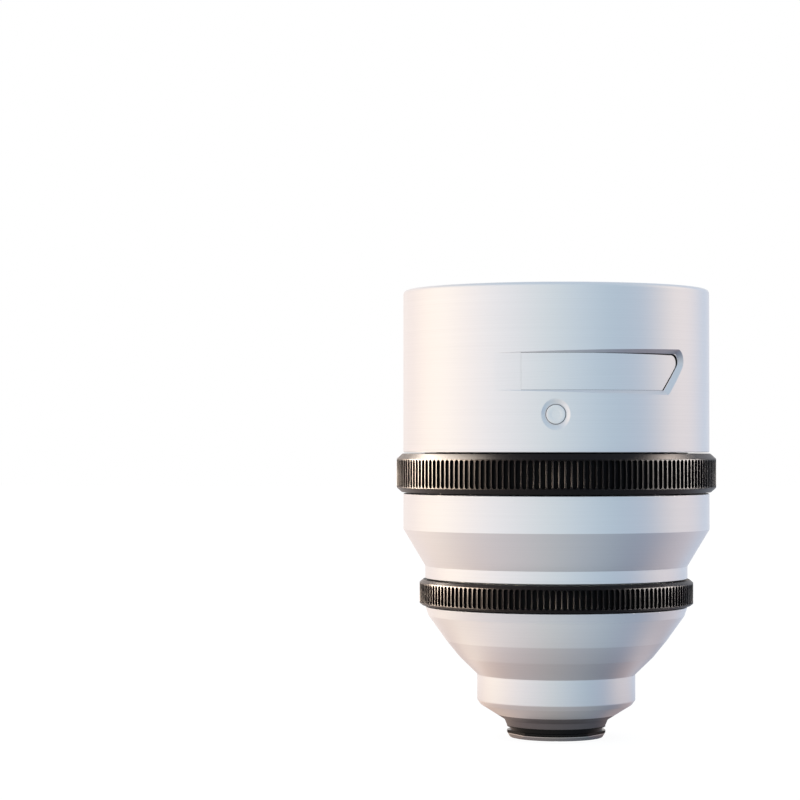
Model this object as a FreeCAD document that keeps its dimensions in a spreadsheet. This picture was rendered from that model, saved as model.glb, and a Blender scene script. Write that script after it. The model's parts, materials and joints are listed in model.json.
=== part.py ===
import FreeCAD, Part
import math
import os
import Sketcher
from FreeCAD import Placement, Rotation, Vector

# A telephoto converter that fixes over a phone's own lens. It stands on its phone mount:
# Z is the lens axis and points to the front glass, and -Y carries the push button.

document = FreeCAD.newDocument("telephoto_converter")
sheet = document.addObject("Spreadsheet::Sheet", "sizes")


class Size:
    """A number in millimetres, degrees or pieces, with the sheet expression that drives it."""

    def __init__(self, value, text):
        self.value = value
        self.text = text

    def __add__(self, other):
        return Size(self.value + other.value, f"{self.text} + {other.text}")

    def __sub__(self, other):
        return Size(self.value - other.value, f"{self.text} - ({other.text})")

    def scaled(self, top, bottom):
        text = f"({self.text}) * ({top.text}) / ({bottom.text})"
        return Size(self.value * top.value / bottom.value, text)


sheet_rows = []


def size(alias, value, note):
    """Write one driving dimension into the sheet."""
    sheet_rows.append(alias)
    row = len(sheet_rows)
    sheet.set(f"A{row}", note)
    sheet.set(f"B{row}", str(value))
    sheet.setAlias(f"B{row}", alias)
    return Size(value, f"sizes.{alias}")


ZERO = Size(0.0, "0")
TWO = Size(2.0, "2")

# Heights of the outside, from the foot of the phone mount upward
mount_height = size("mount_height", 2.3, "phone mount ring, height")
taper_height = size("taper_height", 2.0, "dark taper above the mount")
rear_cone_height = size("rear_cone_height", 2.1, "cone under the rear cylinder")
rear_cylinder_height = size("rear_cylinder_height", 5.9, "rear cylinder")
low_facet_height = size("low_facet_height", 3.4, "lowest facet of the rear barrel")
middle_facet_height = size("middle_facet_height", 3.2, "middle facet of the rear barrel")
top_facet_height = size("top_facet_height", 4.9, "top facet of the rear barrel")
rear_band_height = size("rear_band_height", 1.8, "white band under the fine ring")
seam = size("seam", 0.12, "running gap above and below each ring")
fine_ring_width = size("fine_ring_width", 5.26, "fine focus ring, along the axis")
neck_height = size("neck_height", 2.4, "neck above the fine ring")
shoulder_height = size("shoulder_height", 7.2, "conical shoulder of the middle barrel")
middle_cylinder_height = size("middle_cylinder_height", 7.0, "cylinder under the focus ring")
focus_ring_width = size("focus_ring_width", 7.8, "focus ring, along the axis")
front_barrel_height = size("front_barrel_height", 31.76, "front barrel")

# Radii of the outside and of the nested tubes, each one worked inward from the barrel
barrel_radius = size("barrel_radius", 30.0, "outer radius of the front and middle barrels")
middle_wall = size("middle_wall", 3.9, "middle barrel, wall around the cam sleeve")
sleeve_room = size("sleeve_room", 0.3, "gap around each cam sleeve")
cam_sleeve_wall = size("cam_sleeve_wall", 2.25, "cam sleeve of the focus ring, wall")
running_gap = size("running_gap", 0.05, "radial gap of a turning sleeve")
main_tube_wall = size("main_tube_wall", 1.8, "main tube, wall")
sliding_gap = size("sliding_gap", 0.04, "radial gap of a sliding cell")
seat_gap = size("seat_gap", 0.03, "radial gap of a fixed piece in its seat")
end_gap = size("end_gap", 0.1, "gap along the axis between stacked pieces")
neck_wall = size("neck_wall", 2.2, "middle barrel, wall at its neck")
focus_ring_proud = size("focus_ring_proud", 1.3, "focus ring, height over the barrel")
fine_ring_proud = size("fine_ring_proud", 1.1, "fine ring, height over the neck")
band_drop = size("band_drop", 0.6, "rear band, taper of the radius")
top_facet_drop = size("top_facet_drop", 3.5, "top facet, fall of the radius")
middle_facet_drop = size("middle_facet_drop", 2.6, "middle facet, fall of the radius")
low_facet_drop = size("low_facet_drop", 3.5, "low facet, fall of the radius")
rear_cone_drop = size("rear_cone_drop", 4.0, "rear cone, fall of the radius")
taper_drop = size("taper_drop", 1.85, "dark taper, fall of the radius")
socket_wall = size("socket_wall", 1.0, "rear barrel, wall at the foot of the main tube")
socket_floor = size("socket_floor", 0.9, "rear barrel, floor under the main tube")
lower_tube_wall = size("lower_tube_wall", 1.5, "main tube, wall of its lower stretch")
fine_sleeve_wall = size("fine_sleeve_wall", 2.15, "cam sleeve of the fine ring, wall")
web_height = size("web_height", 2.0, "main tube, web between its two stretches")
edge_break = size("edge_break", 0.25, "small chamfer on the barrels' edges")

mount_top = mount_height
taper_top = mount_top + taper_height
rear_cone_top = taper_top + rear_cone_height
rear_cylinder_top = rear_cone_top + rear_cylinder_height
low_facet_top = rear_cylinder_top + low_facet_height
middle_facet_top = low_facet_top + middle_facet_height
top_facet_top = middle_facet_top + top_facet_height
rear_barrel_top = top_facet_top + rear_band_height
fine_ring_bottom = rear_barrel_top + seam
fine_ring_top = fine_ring_bottom + fine_ring_width
neck_bottom = fine_ring_top + seam
shoulder_bottom = neck_bottom + neck_height
shoulder_top = shoulder_bottom + shoulder_height
middle_barrel_top = shoulder_top + middle_cylinder_height
focus_ring_bottom = middle_barrel_top + seam
focus_ring_top = focus_ring_bottom + focus_ring_width
front_barrel_bottom = focus_ring_top + seam
rim_level = front_barrel_bottom + front_barrel_height

middle_bore = barrel_radius - middle_wall
cam_sleeve_outer = middle_bore - sleeve_room
cam_sleeve_inner = cam_sleeve_outer - cam_sleeve_wall
main_tube_outer = cam_sleeve_inner - running_gap
main_tube_inner = main_tube_outer - main_tube_wall
focus_cell_outer = main_tube_inner - sliding_gap
neck_radius = main_tube_outer + neck_wall
focus_ring_outer = barrel_radius + focus_ring_proud
fine_ring_outer = neck_radius + fine_ring_proud
top_facet_radius = neck_radius - band_drop
middle_facet_radius = top_facet_radius - top_facet_drop
low_facet_radius = middle_facet_radius - middle_facet_drop
rear_cylinder_radius = low_facet_radius - low_facet_drop
taper_radius = rear_cylinder_radius - rear_cone_drop
mount_radius = taper_radius - taper_drop
lower_tube_outer = low_facet_radius - socket_wall
lower_tube_inner = lower_tube_outer - lower_tube_wall
eyepiece_cell_outer = lower_tube_inner - sliding_gap
fine_sleeve_inner = lower_tube_outer + running_gap
fine_sleeve_outer = fine_sleeve_inner + fine_sleeve_wall
socket_level = low_facet_top + socket_floor

parts = {}


def origin_feature(body, role):
    """The body's own origin plane or axis with this role."""
    matches = [item for item in body.Origin.OriginFeatures if item.Role == role]
    return matches[0]


def add_sketch(body, name, turn=0.0, forward=ZERO):
    """A sketch on an upright plane: at turn 0 it faces -Y, and forward moves it out."""
    sketch = body.newObject("Sketcher::SketchObject", name)
    sketch.AttachmentSupport = [(origin_feature(body, "XZ_Plane"), "")]
    sketch.MapMode = "FlatFace"
    angle = math.radians(turn)
    across = forward.value * math.sin(angle)
    out = forward.value * math.cos(angle)
    turned_about_axis = Rotation(Vector(0, 1, 0), turn)
    sketch.AttachmentOffset = Placement(Vector(across, 0, out), turned_about_axis)
    if forward is not ZERO:
        sketch.setExpression("AttachmentOffset.Base.x", f"({forward.text}) * sin({turn})")
        sketch.setExpression("AttachmentOffset.Base.z", f"({forward.text}) * cos({turn})")
    return sketch


def bind(sketch, kind, geometry, place, amount):
    """Hold a sketch point at a driven distance from the sketch's origin."""
    if amount is ZERO:
        axis = -2 if kind == "DistanceX" else -1
        sketch.addConstraint(Sketcher.Constraint("PointOnObject", geometry, place, axis))
        return
    rule = Sketcher.Constraint(kind, -1, 1, geometry, place, amount.value)
    index = sketch.addConstraint(rule)
    sketch.setExpression(f"Constraints[{index}]", amount.text)


def bind_radius(sketch, geometry, amount):
    """Hold a circle or arc at a driven radius."""
    index = sketch.addConstraint(Sketcher.Constraint("Radius", geometry, amount.value))
    sketch.setExpression(f"Constraints[{index}]", amount.text)


def add_polygon(sketch, corners):
    """A closed outline of straight lines, each corner held by its two coordinates."""
    first = sketch.GeometryCount
    count = len(corners)
    for index, (across, up) in enumerate(corners):
        next_across, next_up = corners[(index + 1) % count]
        start = Vector(across.value, up.value, 0)
        end = Vector(next_across.value, next_up.value, 0)
        sketch.addGeometry(Part.LineSegment(start, end))
    for index in range(count):
        following = first + (index + 1) % count
        sketch.addConstraint(Sketcher.Constraint("Coincident", first + index, 2, following, 1))
    for index, (across, up) in enumerate(corners):
        bind(sketch, "DistanceX", first + index, 1, across)
        bind(sketch, "DistanceY", first + index, 1, up)


def add_circle(sketch, across, up, radius):
    """A circle held by its centre and radius."""
    centre = Vector(across.value, up.value, 0)
    index = sketch.addGeometry(Part.Circle(centre, Vector(0, 0, 1), radius.value))
    bind(sketch, "DistanceX", index, 3, across)
    bind(sketch, "DistanceY", index, 3, up)
    bind_radius(sketch, index, radius)


def add_slot(sketch, radius, low, high):
    """An upright slot with round ends, centred on the lens axis; low and high are its centres."""
    half = radius.value
    up = Vector(0, 0, 1)
    foot = Part.Circle(Vector(0, low.value, 0), up, half)
    head = Part.Circle(Vector(0, high.value, 0), up, half)
    sketch.addGeometry(Part.ArcOfCircle(foot, math.pi, 2 * math.pi))
    sketch.addGeometry(Part.LineSegment(Vector(half, low.value, 0), Vector(half, high.value, 0)))
    sketch.addGeometry(Part.ArcOfCircle(head, 0, math.pi))
    sketch.addGeometry(Part.LineSegment(Vector(-half, high.value, 0), Vector(-half, low.value, 0)))
    for piece in range(4):
        following = (piece + 1) % 4
        sketch.addConstraint(Sketcher.Constraint("Tangent", piece, 2, following, 1))
    sketch.addConstraint(Sketcher.Constraint("Vertical", 1))
    bind(sketch, "DistanceX", 0, 3, ZERO)
    bind(sketch, "DistanceY", 0, 3, low)
    bind(sketch, "DistanceX", 2, 3, ZERO)
    bind(sketch, "DistanceY", 2, 3, high)
    bind_radius(sketch, 0, radius)


def new_body(label):
    """An empty body for one piece."""
    body = document.addObject("PartDesign::Body", label)
    body.Label = label
    body.AllowCompound = True
    parts[label] = body
    return body


def revolve(body, name, outline, turn=0.0, axis_at=None):
    """Turn an outline of (radius, height) corners about the lens axis, or a parallel one."""
    sketch = add_sketch(body, name, turn)
    add_polygon(sketch, outline)
    axis_name = "V_Axis"
    if axis_at is not None:
        low, high = axis_at[1], axis_at[2]
        line = Part.LineSegment(
            Vector(axis_at[0].value, low.value, 0), Vector(axis_at[0].value, high.value, 0)
        )
        index = sketch.addGeometry(line, True)
        for place, level in ((1, low), (2, high)):
            bind(sketch, "DistanceX", index, place, axis_at[0])
            bind(sketch, "DistanceY", index, place, level)
        axis_name = "Axis0"
    feature = body.newObject("PartDesign::Revolution", name + "_turned")
    feature.Profile = sketch
    feature.ReferenceAxis = (sketch, [axis_name])
    feature.Angle = 360
    return feature


def turned(label, outline):
    """A piece turned on the lathe about the lens axis."""
    body = new_body(label)
    revolve(body, label + "_outline", outline)
    body.recompute(True)
    return body


def tube(label, inner, outer, low, high):
    """A plain ring or tube about the lens axis."""
    corners = [(inner, low), (outer, low), (outer, high), (inner, high)]
    return turned(label, corners)


def pad(body, sketch, length, backward=False):
    """Pad a sketch outward from the lens axis."""
    feature = body.newObject("PartDesign::Pad", sketch.Name + "_pad")
    feature.Profile = sketch
    feature.Length = length.value
    feature.setExpression("Length", length.text)
    feature.Reversed = backward
    return feature


def pocket(body, sketch, length, backward=True):
    """Cut a sketch outward from the lens axis, and make sure that it cuts something."""
    body.recompute(True)
    before = body.Shape.Volume
    feature = body.newObject("PartDesign::Pocket", sketch.Name + "_cut")
    feature.Profile = sketch
    feature.Length = length.value
    feature.setExpression("Length", length.text)
    feature.Reversed = backward
    body.recompute(True)
    if body.Shape.Volume >= before:
        raise ValueError(f"{feature.Name} cuts nothing")
    return feature


def around(body, name, features, count):
    """Repeat features evenly around the lens axis."""
    pattern = body.newObject("PartDesign::PolarPattern", name)
    pattern.Originals = features
    pattern.Axis = (origin_feature(body, "Z_Axis"), [""])
    pattern.Angle = 360
    pattern.Occurrences = int(count.value)
    pattern.setExpression("Occurrences", count.text)
    body.Tip = pattern
    body.recompute(True)
    return pattern


def rim_edges(feature, radius, level):
    """Names of the circular edges at this radius and height."""
    names = []
    for index, edge in enumerate(feature.Shape.Edges):
        curve = edge.Curve
        if not isinstance(curve, Part.Circle):
            continue
        near_radius = abs(curve.Radius - radius.value) < 1e-4
        near_level = abs(curve.Center.z - level.value) < 1e-4
        if near_radius and near_level:
            names.append(f"Edge{index + 1}")
    return names


def soften(body, kind, name, radius, level, amount):
    """Round or chamfer a circular edge."""
    body.recompute(True)
    base = body.Tip
    feature = body.newObject(f"PartDesign::{kind}", name)
    feature.Base = (base, rim_edges(base, radius, level))
    field = "Radius" if kind == "Fillet" else "Size"
    feature.setExpression(field, amount.text)
    body.Tip = feature
    body.recompute(True)
    return feature


def face_arc(sketch, radius, level, curve, bulges_up):
    """The arc of one lens face, from the axis to the edge; level is the height of its edge."""
    reach = math.sqrt(curve.value ** 2 - radius.value ** 2)
    half_angle = math.asin(radius.value / curve.value)
    if bulges_up:
        centre = Vector(0, level.value - reach, 0)
        start, end = math.pi / 2 - half_angle, math.pi / 2
        edge_end, axis_end = 1, 2
    else:
        centre = Vector(0, level.value + reach, 0)
        start, end = -math.pi / 2, -math.pi / 2 + half_angle
        edge_end, axis_end = 2, 1
    circle = Part.Circle(centre, Vector(0, 0, 1), curve.value)
    index = sketch.addGeometry(Part.ArcOfCircle(circle, start, end))
    bind(sketch, "DistanceX", index, 3, ZERO)
    bind_radius(sketch, index, curve)
    tip = centre.y + (curve.value if bulges_up else -curve.value)
    return index, edge_end, axis_end, tip


def screws(label, count, circle_radius, head_level, head_radius, head_height, shank, length,
           turn, points_up=False):
    """Countersunk screws along the lens axis, evenly spaced on a circle, as one group."""
    body = new_body(label)
    neck = head_level + head_height if points_up else head_level - head_height
    tip = head_level + length if points_up else head_level - length
    outline = [
        (circle_radius, head_level),
        (circle_radius + head_radius, head_level),
        (circle_radius + shank, neck),
        (circle_radius + shank, tip),
        (circle_radius, tip),
    ]
    feature = revolve(body, label + "_outline", outline, turn, (circle_radius, head_level, tip))
    body.recompute(True)
    around(body, label + "_group", [feature], count)
    return body


def screw_holes(body, name, count, circle_radius, head_level, head_radius, head_height, shank,
                length, turn, points_up=False):
    """The matching countersunk holes, turned out of a piece and repeated."""
    neck = head_level + head_height if points_up else head_level - head_height
    tip = head_level + length if points_up else head_level - length
    sketch = add_sketch(body, name, turn)
    add_polygon(sketch, [
        (circle_radius, head_level),
        (circle_radius + head_radius, head_level),
        (circle_radius + shank, neck),
        (circle_radius + shank, tip),
        (circle_radius, tip),
    ])
    line = Part.LineSegment(
        Vector(circle_radius.value, head_level.value, 0), Vector(circle_radius.value, tip.value, 0)
    )
    index = sketch.addGeometry(line, True)
    for place, level in ((1, head_level), (2, tip)):
        bind(sketch, "DistanceX", index, place, circle_radius)
        bind(sketch, "DistanceY", index, place, level)
    body.recompute(True)
    before = body.Shape.Volume
    feature = body.newObject("PartDesign::Groove", name + "_groove")
    feature.Profile = sketch
    feature.ReferenceAxis = (sketch, ["Axis0"])
    feature.Angle = 360
    body.recompute(True)
    if body.Shape.Volume >= before:
        raise ValueError(f"{name} cuts nothing")
    around(body, name + "_group", [feature], count)


def add_rounded_polygon(sketch, corners, rounded, radius):
    """A closed counterclockwise outline with one corner rounded by an arc."""
    points = [Vector(across.value, up.value, 0) for across, up in corners]
    count = len(points)
    corner = points[rounded]
    into = (corner - points[rounded - 1]).normalize()
    out = (points[(rounded + 1) % count] - corner).normalize()
    turn = into.getAngle(out)
    cut = radius.value * math.tan(turn / 2)
    arc_start = corner - into * cut
    arc_end = corner + out * cut
    centre = arc_start + Vector(-into.y, into.x, 0) * radius.value
    for index in range(count):
        start = arc_end if index == rounded else points[index]
        end = arc_start if (index + 1) % count == rounded else points[(index + 1) % count]
        sketch.addGeometry(Part.LineSegment(start, end))
    first_angle = math.atan2(arc_start.y - centre.y, arc_start.x - centre.x)
    circle = Part.Circle(centre, Vector(0, 0, 1), radius.value)
    arc = sketch.addGeometry(Part.ArcOfCircle(circle, first_angle, first_angle + turn))
    mark = sketch.addGeometry(Part.Point(corner), True)
    before = (rounded - 1) % count
    for index in range(count):
        following = (index + 1) % count
        if following != rounded:
            sketch.addConstraint(Sketcher.Constraint("Coincident", index, 2, following, 1))
    sketch.addConstraint(Sketcher.Constraint("Tangent", before, 2, arc, 1))
    sketch.addConstraint(Sketcher.Constraint("Tangent", arc, 2, rounded, 1))
    sketch.addConstraint(Sketcher.Constraint("PointOnObject", mark, 1, before))
    sketch.addConstraint(Sketcher.Constraint("PointOnObject", mark, 1, rounded))
    bind_radius(sketch, arc, radius)
    for index, (across, up) in enumerate(corners):
        holder = mark if index == rounded else index
        bind(sketch, "DistanceX", holder, 1, across)
        bind(sketch, "DistanceY", holder, 1, up)


def button_sketch(body, name, level, outline):
    """An outline of (distance from the lens axis, radius) about the button's own axis."""
    sketch = body.newObject("Sketcher::SketchObject", name)
    sketch.AttachmentSupport = [(origin_feature(body, "YZ_Plane"), "")]
    sketch.MapMode = "FlatFace"
    add_polygon(sketch, [(ZERO - far, level + radius) for far, radius in outline])
    ends = [ZERO - outline[0][0], ZERO - outline[-1][0]]
    line = Part.LineSegment(Vector(ends[0].value, level.value, 0), Vector(ends[1].value, level.value, 0))
    index = sketch.addGeometry(line, True)
    for place, end in ((1, ends[0]), (2, ends[1])):
        bind(sketch, "DistanceX", index, place, end)
        bind(sketch, "DistanceY", index, place, level)
    return sketch


def radial_holes(body, name, start, end, level, radius, turn, count):
    """Round holes pointing at the lens axis, from start outward to end."""
    sketch = add_sketch(body, name, turn, start)
    add_circle(sketch, ZERO, level, radius)
    cut = pocket(body, sketch, end - start)
    around(body, name + "_group", [cut], count)


def guide_slots(body, name, start, end, radius, low, high, turn, count):
    """Straight slots that keep a sliding cell from turning."""
    sketch = add_sketch(body, name, turn, start)
    add_slot(sketch, radius, low, high)
    cut = pocket(body, sketch, end - start)
    around(body, name + "_group", [cut], count)


def cam_slots(body, name, inner, outer, level, half_width, first_angle, sweep, climb, count):
    """Left-handed helical slots that lift the rollers as the ring turns."""
    sketch = add_sketch(body, name, first_angle)
    low = level - half_width
    high = level + half_width
    add_polygon(sketch, [(inner, low), (outer, low), (outer, high), (inner, high)])
    body.recompute(True)
    before = body.Shape.Volume
    feature = body.newObject("PartDesign::SubtractiveHelix", name + "_cut")
    feature.Profile = sketch
    feature.ReferenceAxis = (sketch, ["V_Axis"])
    feature.Mode = "height-turns-angle"
    feature.LeftHanded = True
    feature.setExpression("Height", climb.text)
    feature.setExpression("Turns", f"({sweep.text}) / 360")
    body.recompute(True)
    if body.Shape.Volume >= before:
        raise ValueError(f"{name} cuts nothing")
    around(body, name + "_group", [feature], count)


def rollers(label, stud_start, stud_radius, roller_start, roller_end, roller_radius, level,
            turn, count):
    """Cam rollers on their studs, one for each slot, as one group."""
    body = new_body(label)
    stud = add_sketch(body, label + "_stud", turn, stud_start)
    add_circle(stud, ZERO, level, stud_radius)
    stud_pad = pad(body, stud, roller_start - stud_start)
    roller = add_sketch(body, label + "_roller", turn, roller_start)
    add_circle(roller, ZERO, level, roller_radius)
    roller_pad = pad(body, roller, roller_end - roller_start)
    body.recompute(True)
    around(body, label + "_group", [stud_pad, roller_pad], count)
    return body


def flutes(body, name, outer, depth, half_width, low, high, count):
    """The grip's upright flutes with round ends."""
    floor = outer - depth
    sketch = add_sketch(body, name, 0.0, floor)
    add_slot(sketch, half_width, low, high)
    cut = pocket(body, sketch, depth + depth)
    around(body, name + "_group", [cut], count)


# Cam motions. A ring turns, its sleeve's slots lift the rollers, and the cell slides
cam_count = size("cam_count", 3, "rollers and slots of each cam")
focus_turn = size("focus_turn", 90.0, "turn of the focus ring, degrees")
focus_travel = size("focus_travel", 6.0, "travel of the focus cell")
fine_turn = size("fine_turn", 60.0, "turn of the fine ring from end to end, degrees")
fine_travel = size("fine_travel", 3.0, "travel of the eyepiece cell from end to end")
cam_margin = size("cam_margin", 5.0, "slot length past each roller's end place, degrees")
roller_radius = size("roller_radius", 1.4, "cam rollers, radius")
stud_radius = size("stud_radius", 0.8, "studs of the cam rollers, radius")
roller_gap = size("roller_gap", 0.08, "cam rollers, gap on each side of their slots")
roller_inset = size("roller_inset", 0.25, "cam rollers, distance inside the sleeve's skin")
stud_depth = size("stud_depth", 2.2, "studs, depth in the cell's wall")
washer_height = size("washer_height", 0.4, "friction washers, thickness")

# The focus cell rides in the main tube, above the web
web_top = neck_bottom + web_height
focus_cell_rise = size("focus_cell_rise", 6.4, "focus cell above the main tube's web")
focus_roller_rise = size("focus_roller_rise", 3.7, "rollers above the foot of the focus cell")
focus_cell_height = size("focus_cell_height", 10.0, "focus cell, height")
cam_sleeve_foot = size("cam_sleeve_foot", 2.9, "cam sleeve below the rollers")
focus_cell_bottom = web_top + focus_cell_rise
focus_roller_level = focus_cell_bottom + focus_roller_rise
focus_cell_top = focus_cell_bottom + focus_cell_height
cam_sleeve_bottom = focus_roller_level - cam_sleeve_foot
sleeve_floor = cam_sleeve_bottom - washer_height - end_gap

# The flange of the main tube is screwed down on the front barrel's inner lip
lip_height = size("lip_height", 2.2, "front barrel, inner lip")
flange_height = size("flange_height", 3.0, "main tube, top flange")
front_wall = size("front_wall", 3.5, "front barrel, wall around the front cell")
seat_step = size("seat_step", 0.5, "front barrel, shoulder under the front cell")
lip_top = front_barrel_bottom + lip_height
flange_top = lip_top + flange_height
front_bore = barrel_radius - front_wall
seat_bore = front_bore - seat_step
flange_outer = seat_bore - seat_gap

# The eyepiece cell rides in the lower stretch of the main tube
fine_roller_drop = size("fine_roller_drop", 1.1, "fine rollers below the fine ring")
eyepiece_cell_foot = size("eyepiece_cell_foot", 4.6, "eyepiece cell below its rollers")
eyepiece_cell_height = size("eyepiece_cell_height", 10.6, "eyepiece cell, height")
fine_roller_level = fine_ring_bottom - fine_roller_drop
eyepiece_bottom = fine_roller_level - eyepiece_cell_foot
eyepiece_top = eyepiece_bottom + eyepiece_cell_height
half_fine_travel = fine_travel.scaled(Size(1.0, "1"), TWO)

# Main tube: the spine that every other fixed piece is held by
main_tube = turned("main_tube", [
    (lower_tube_inner, socket_level),
    (lower_tube_outer, socket_level),
    (lower_tube_outer, neck_bottom),
    (main_tube_outer, neck_bottom),
    (main_tube_outer, lip_top),
    (flange_outer, lip_top),
    (flange_outer, flange_top),
    (main_tube_inner, flange_top),
    (main_tube_inner, web_top),
    (lower_tube_inner, web_top),
])
ROLLERS_FACE = 180.0
slot_radius = roller_radius + roller_gap
wide_cut = size("wide_cut", 1.0, "length by which cutters pass the walls that they cut")
guide_slots(
    main_tube, "focus_guides", main_tube_inner - wide_cut, main_tube_outer + wide_cut,
    slot_radius, focus_roller_level, focus_roller_level + focus_travel, ROLLERS_FACE, cam_count,
)
guide_slots(
    main_tube, "eyepiece_guides", lower_tube_inner - wide_cut, lower_tube_outer + wide_cut,
    slot_radius, fine_roller_level - half_fine_travel, fine_roller_level + half_fine_travel,
    ROLLERS_FACE, cam_count,
)

# Screws through the flange into the front barrel's lip
screw_count = size("screw_count", 3, "screws in each ring of screws")
flange_screw_inset = size("flange_screw_inset", 1.2, "flange screws outside the main tube")
flange_screw_head = size("flange_screw_head", 0.9, "flange screws, head radius")
flange_screw_shank = size("flange_screw_shank", 0.5, "flange screws, shank radius")
flange_screw_bite = size("flange_screw_bite", 1.6, "flange screws, depth in the lip")
screw_head_height = size("screw_head_height", 0.5, "countersunk heads, height")
screw_gap = size("screw_gap", 0.02, "gap around screws and pins in their holes")
flange_screw_circle = main_tube_outer + flange_screw_inset
flange_screw_length = flange_height + flange_screw_bite
FLANGE_SCREWS_AT = 30.0
screws(
    "flange_screws", screw_count, flange_screw_circle, flange_top, flange_screw_head,
    screw_head_height, flange_screw_shank, flange_screw_length, FLANGE_SCREWS_AT,
)
screw_holes(
    main_tube, "flange_screw_holes", screw_count, flange_screw_circle, flange_top,
    flange_screw_head + screw_gap, screw_head_height, flange_screw_shank + screw_gap,
    flange_screw_length + screw_gap, FLANGE_SCREWS_AT,
)

# Focus ring and its cam sleeve, pinned together
focus_chamfer = size("focus_chamfer", 1.15, "focus ring, chamfers")
focus_flute_count = size("focus_flute_count", 168, "focus ring, flutes")
flute_half_width = size("flute_half_width", 0.38, "flutes, half width")
flute_depth = size("flute_depth", 0.36, "flutes, depth")
focus_flute_end = size("focus_flute_end", 1.1, "focus ring, plain edge past each flute")
pin_radius = size("pin_radius", 0.9, "drive pins, radius")
pin_depth = size("pin_depth", 2.8, "drive pins, depth in the focus ring")
pin_rise = size("pin_rise", 3.9, "drive pins above the focus ring's foot")
PINS_FACE = 75.0
focus_ring = turned("focus_ring", [
    (cam_sleeve_outer + seat_gap, focus_ring_bottom),
    (focus_ring_outer - focus_chamfer, focus_ring_bottom),
    (focus_ring_outer, focus_ring_bottom + focus_chamfer),
    (focus_ring_outer, focus_ring_top - focus_chamfer),
    (focus_ring_outer - focus_chamfer, focus_ring_top),
    (cam_sleeve_outer + seat_gap, focus_ring_top),
])
pin_level = focus_ring_bottom + pin_rise
pin_start = cam_sleeve_inner + wide_cut
pin_end = cam_sleeve_outer + pin_depth
radial_holes(
    focus_ring, "focus_ring_pin_holes", pin_start - screw_gap, pin_end + screw_gap, pin_level,
    pin_radius + screw_gap, PINS_FACE, screw_count,
)
focus_cam_sleeve = tube(
    "focus_cam_sleeve", cam_sleeve_inner, cam_sleeve_outer, cam_sleeve_bottom, focus_ring_top
)
focus_sweep = focus_turn + cam_margin + cam_margin
focus_climb = focus_travel.scaled(focus_sweep, focus_turn)
focus_start = focus_roller_level - focus_travel.scaled(cam_margin, focus_turn)
ROLLERS_AT = 90.0
cam_slots(
    focus_cam_sleeve, "focus_cam", cam_sleeve_inner - wide_cut, cam_sleeve_outer + wide_cut,
    focus_start, slot_radius + roller_gap, ROLLERS_AT + cam_margin.value, focus_sweep,
    focus_climb, cam_count,
)
radial_holes(
    focus_cam_sleeve, "sleeve_pin_holes", pin_start - screw_gap, cam_sleeve_outer + wide_cut,
    pin_level, pin_radius + screw_gap, PINS_FACE, screw_count,
)
focus_drive_pins = new_body("focus_drive_pins")
pin_sketch = add_sketch(focus_drive_pins, "drive_pin", PINS_FACE, pin_start)
add_circle(pin_sketch, ZERO, pin_level, pin_radius)
pin_pad = pad(focus_drive_pins, pin_sketch, pin_end - pin_start)
focus_drive_pins.recompute(True)
around(focus_drive_pins, "drive_pins", [pin_pad], screw_count)
friction_side = size("friction_side", 0.25, "friction washers, gap at their edges")
tube(
    "focus_friction_washer", main_tube_outer + friction_side, middle_bore - friction_side,
    sleeve_floor, sleeve_floor + washer_height,
)

# Middle barrel: cylinder, conical shoulder and neck
middle_barrel = turned("middle_barrel", [
    (main_tube_outer + seat_gap, neck_bottom),
    (neck_radius, neck_bottom),
    (neck_radius, shoulder_bottom),
    (barrel_radius, shoulder_top),
    (barrel_radius, middle_barrel_top),
    (middle_bore, middle_barrel_top),
    (middle_bore, sleeve_floor),
    (main_tube_outer + seat_gap, sleeve_floor),
])
soften(middle_barrel, "Chamfer", "middle_edge", barrel_radius, middle_barrel_top, edge_break)

# Focus cell with its two lenses
cell_lip = size("cell_lip", 1.2, "lips that the lenses sit on, height")
lens_land = size("lens_land", 1.2, "flat land around each lens face")
focus_cell_wall = size("focus_cell_wall", 3.05, "focus cell, wall")
focus_lens_rear_edge = size("focus_lens_rear_edge", 2.5, "rear focus lens, edge")
focus_spacer_height = size("focus_spacer_height", 2.2, "spacer between the focus lenses")
focus_lens_front_edge = size("focus_lens_front_edge", 1.5, "front focus lens, edge")
focus_ring_lock = size("focus_ring_lock", 2.0, "retaining ring of the focus cell, height")
focus_curve_weak = size("focus_curve_weak", 60.0, "focus lenses, weaker faces")
focus_curve_strong = size("focus_curve_strong", 45.0, "front focus lens, stronger face")
focus_bore = focus_cell_outer - focus_cell_wall
focus_glass = focus_bore - seat_gap
focus_clear = focus_glass - lens_land
focus_cell = turned("focus_cell", [
    (focus_clear, focus_cell_bottom),
    (focus_cell_outer, focus_cell_bottom),
    (focus_cell_outer, focus_cell_top),
    (focus_bore, focus_cell_top),
    (focus_bore, focus_cell_bottom + cell_lip),
    (focus_clear, focus_cell_bottom + cell_lip),
])
stud_start = focus_cell_outer - stud_depth
roller_start = focus_cell_outer + sliding_gap
radial_holes(
    focus_cell, "focus_stud_holes", stud_start - screw_gap, focus_cell_outer + wide_cut,
    focus_roller_level, stud_radius + screw_gap, ROLLERS_FACE, cam_count,
)
rollers(
    "focus_cam_rollers", stud_start, stud_radius, roller_start, cam_sleeve_outer - roller_inset,
    roller_radius, focus_roller_level, ROLLERS_FACE, cam_count,
)
focus_rear_low = focus_cell_bottom + cell_lip
focus_rear_high = focus_rear_low + focus_lens_rear_edge
focus_front_low = focus_rear_high + focus_spacer_height
focus_front_high = focus_front_low + focus_lens_front_edge


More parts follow.
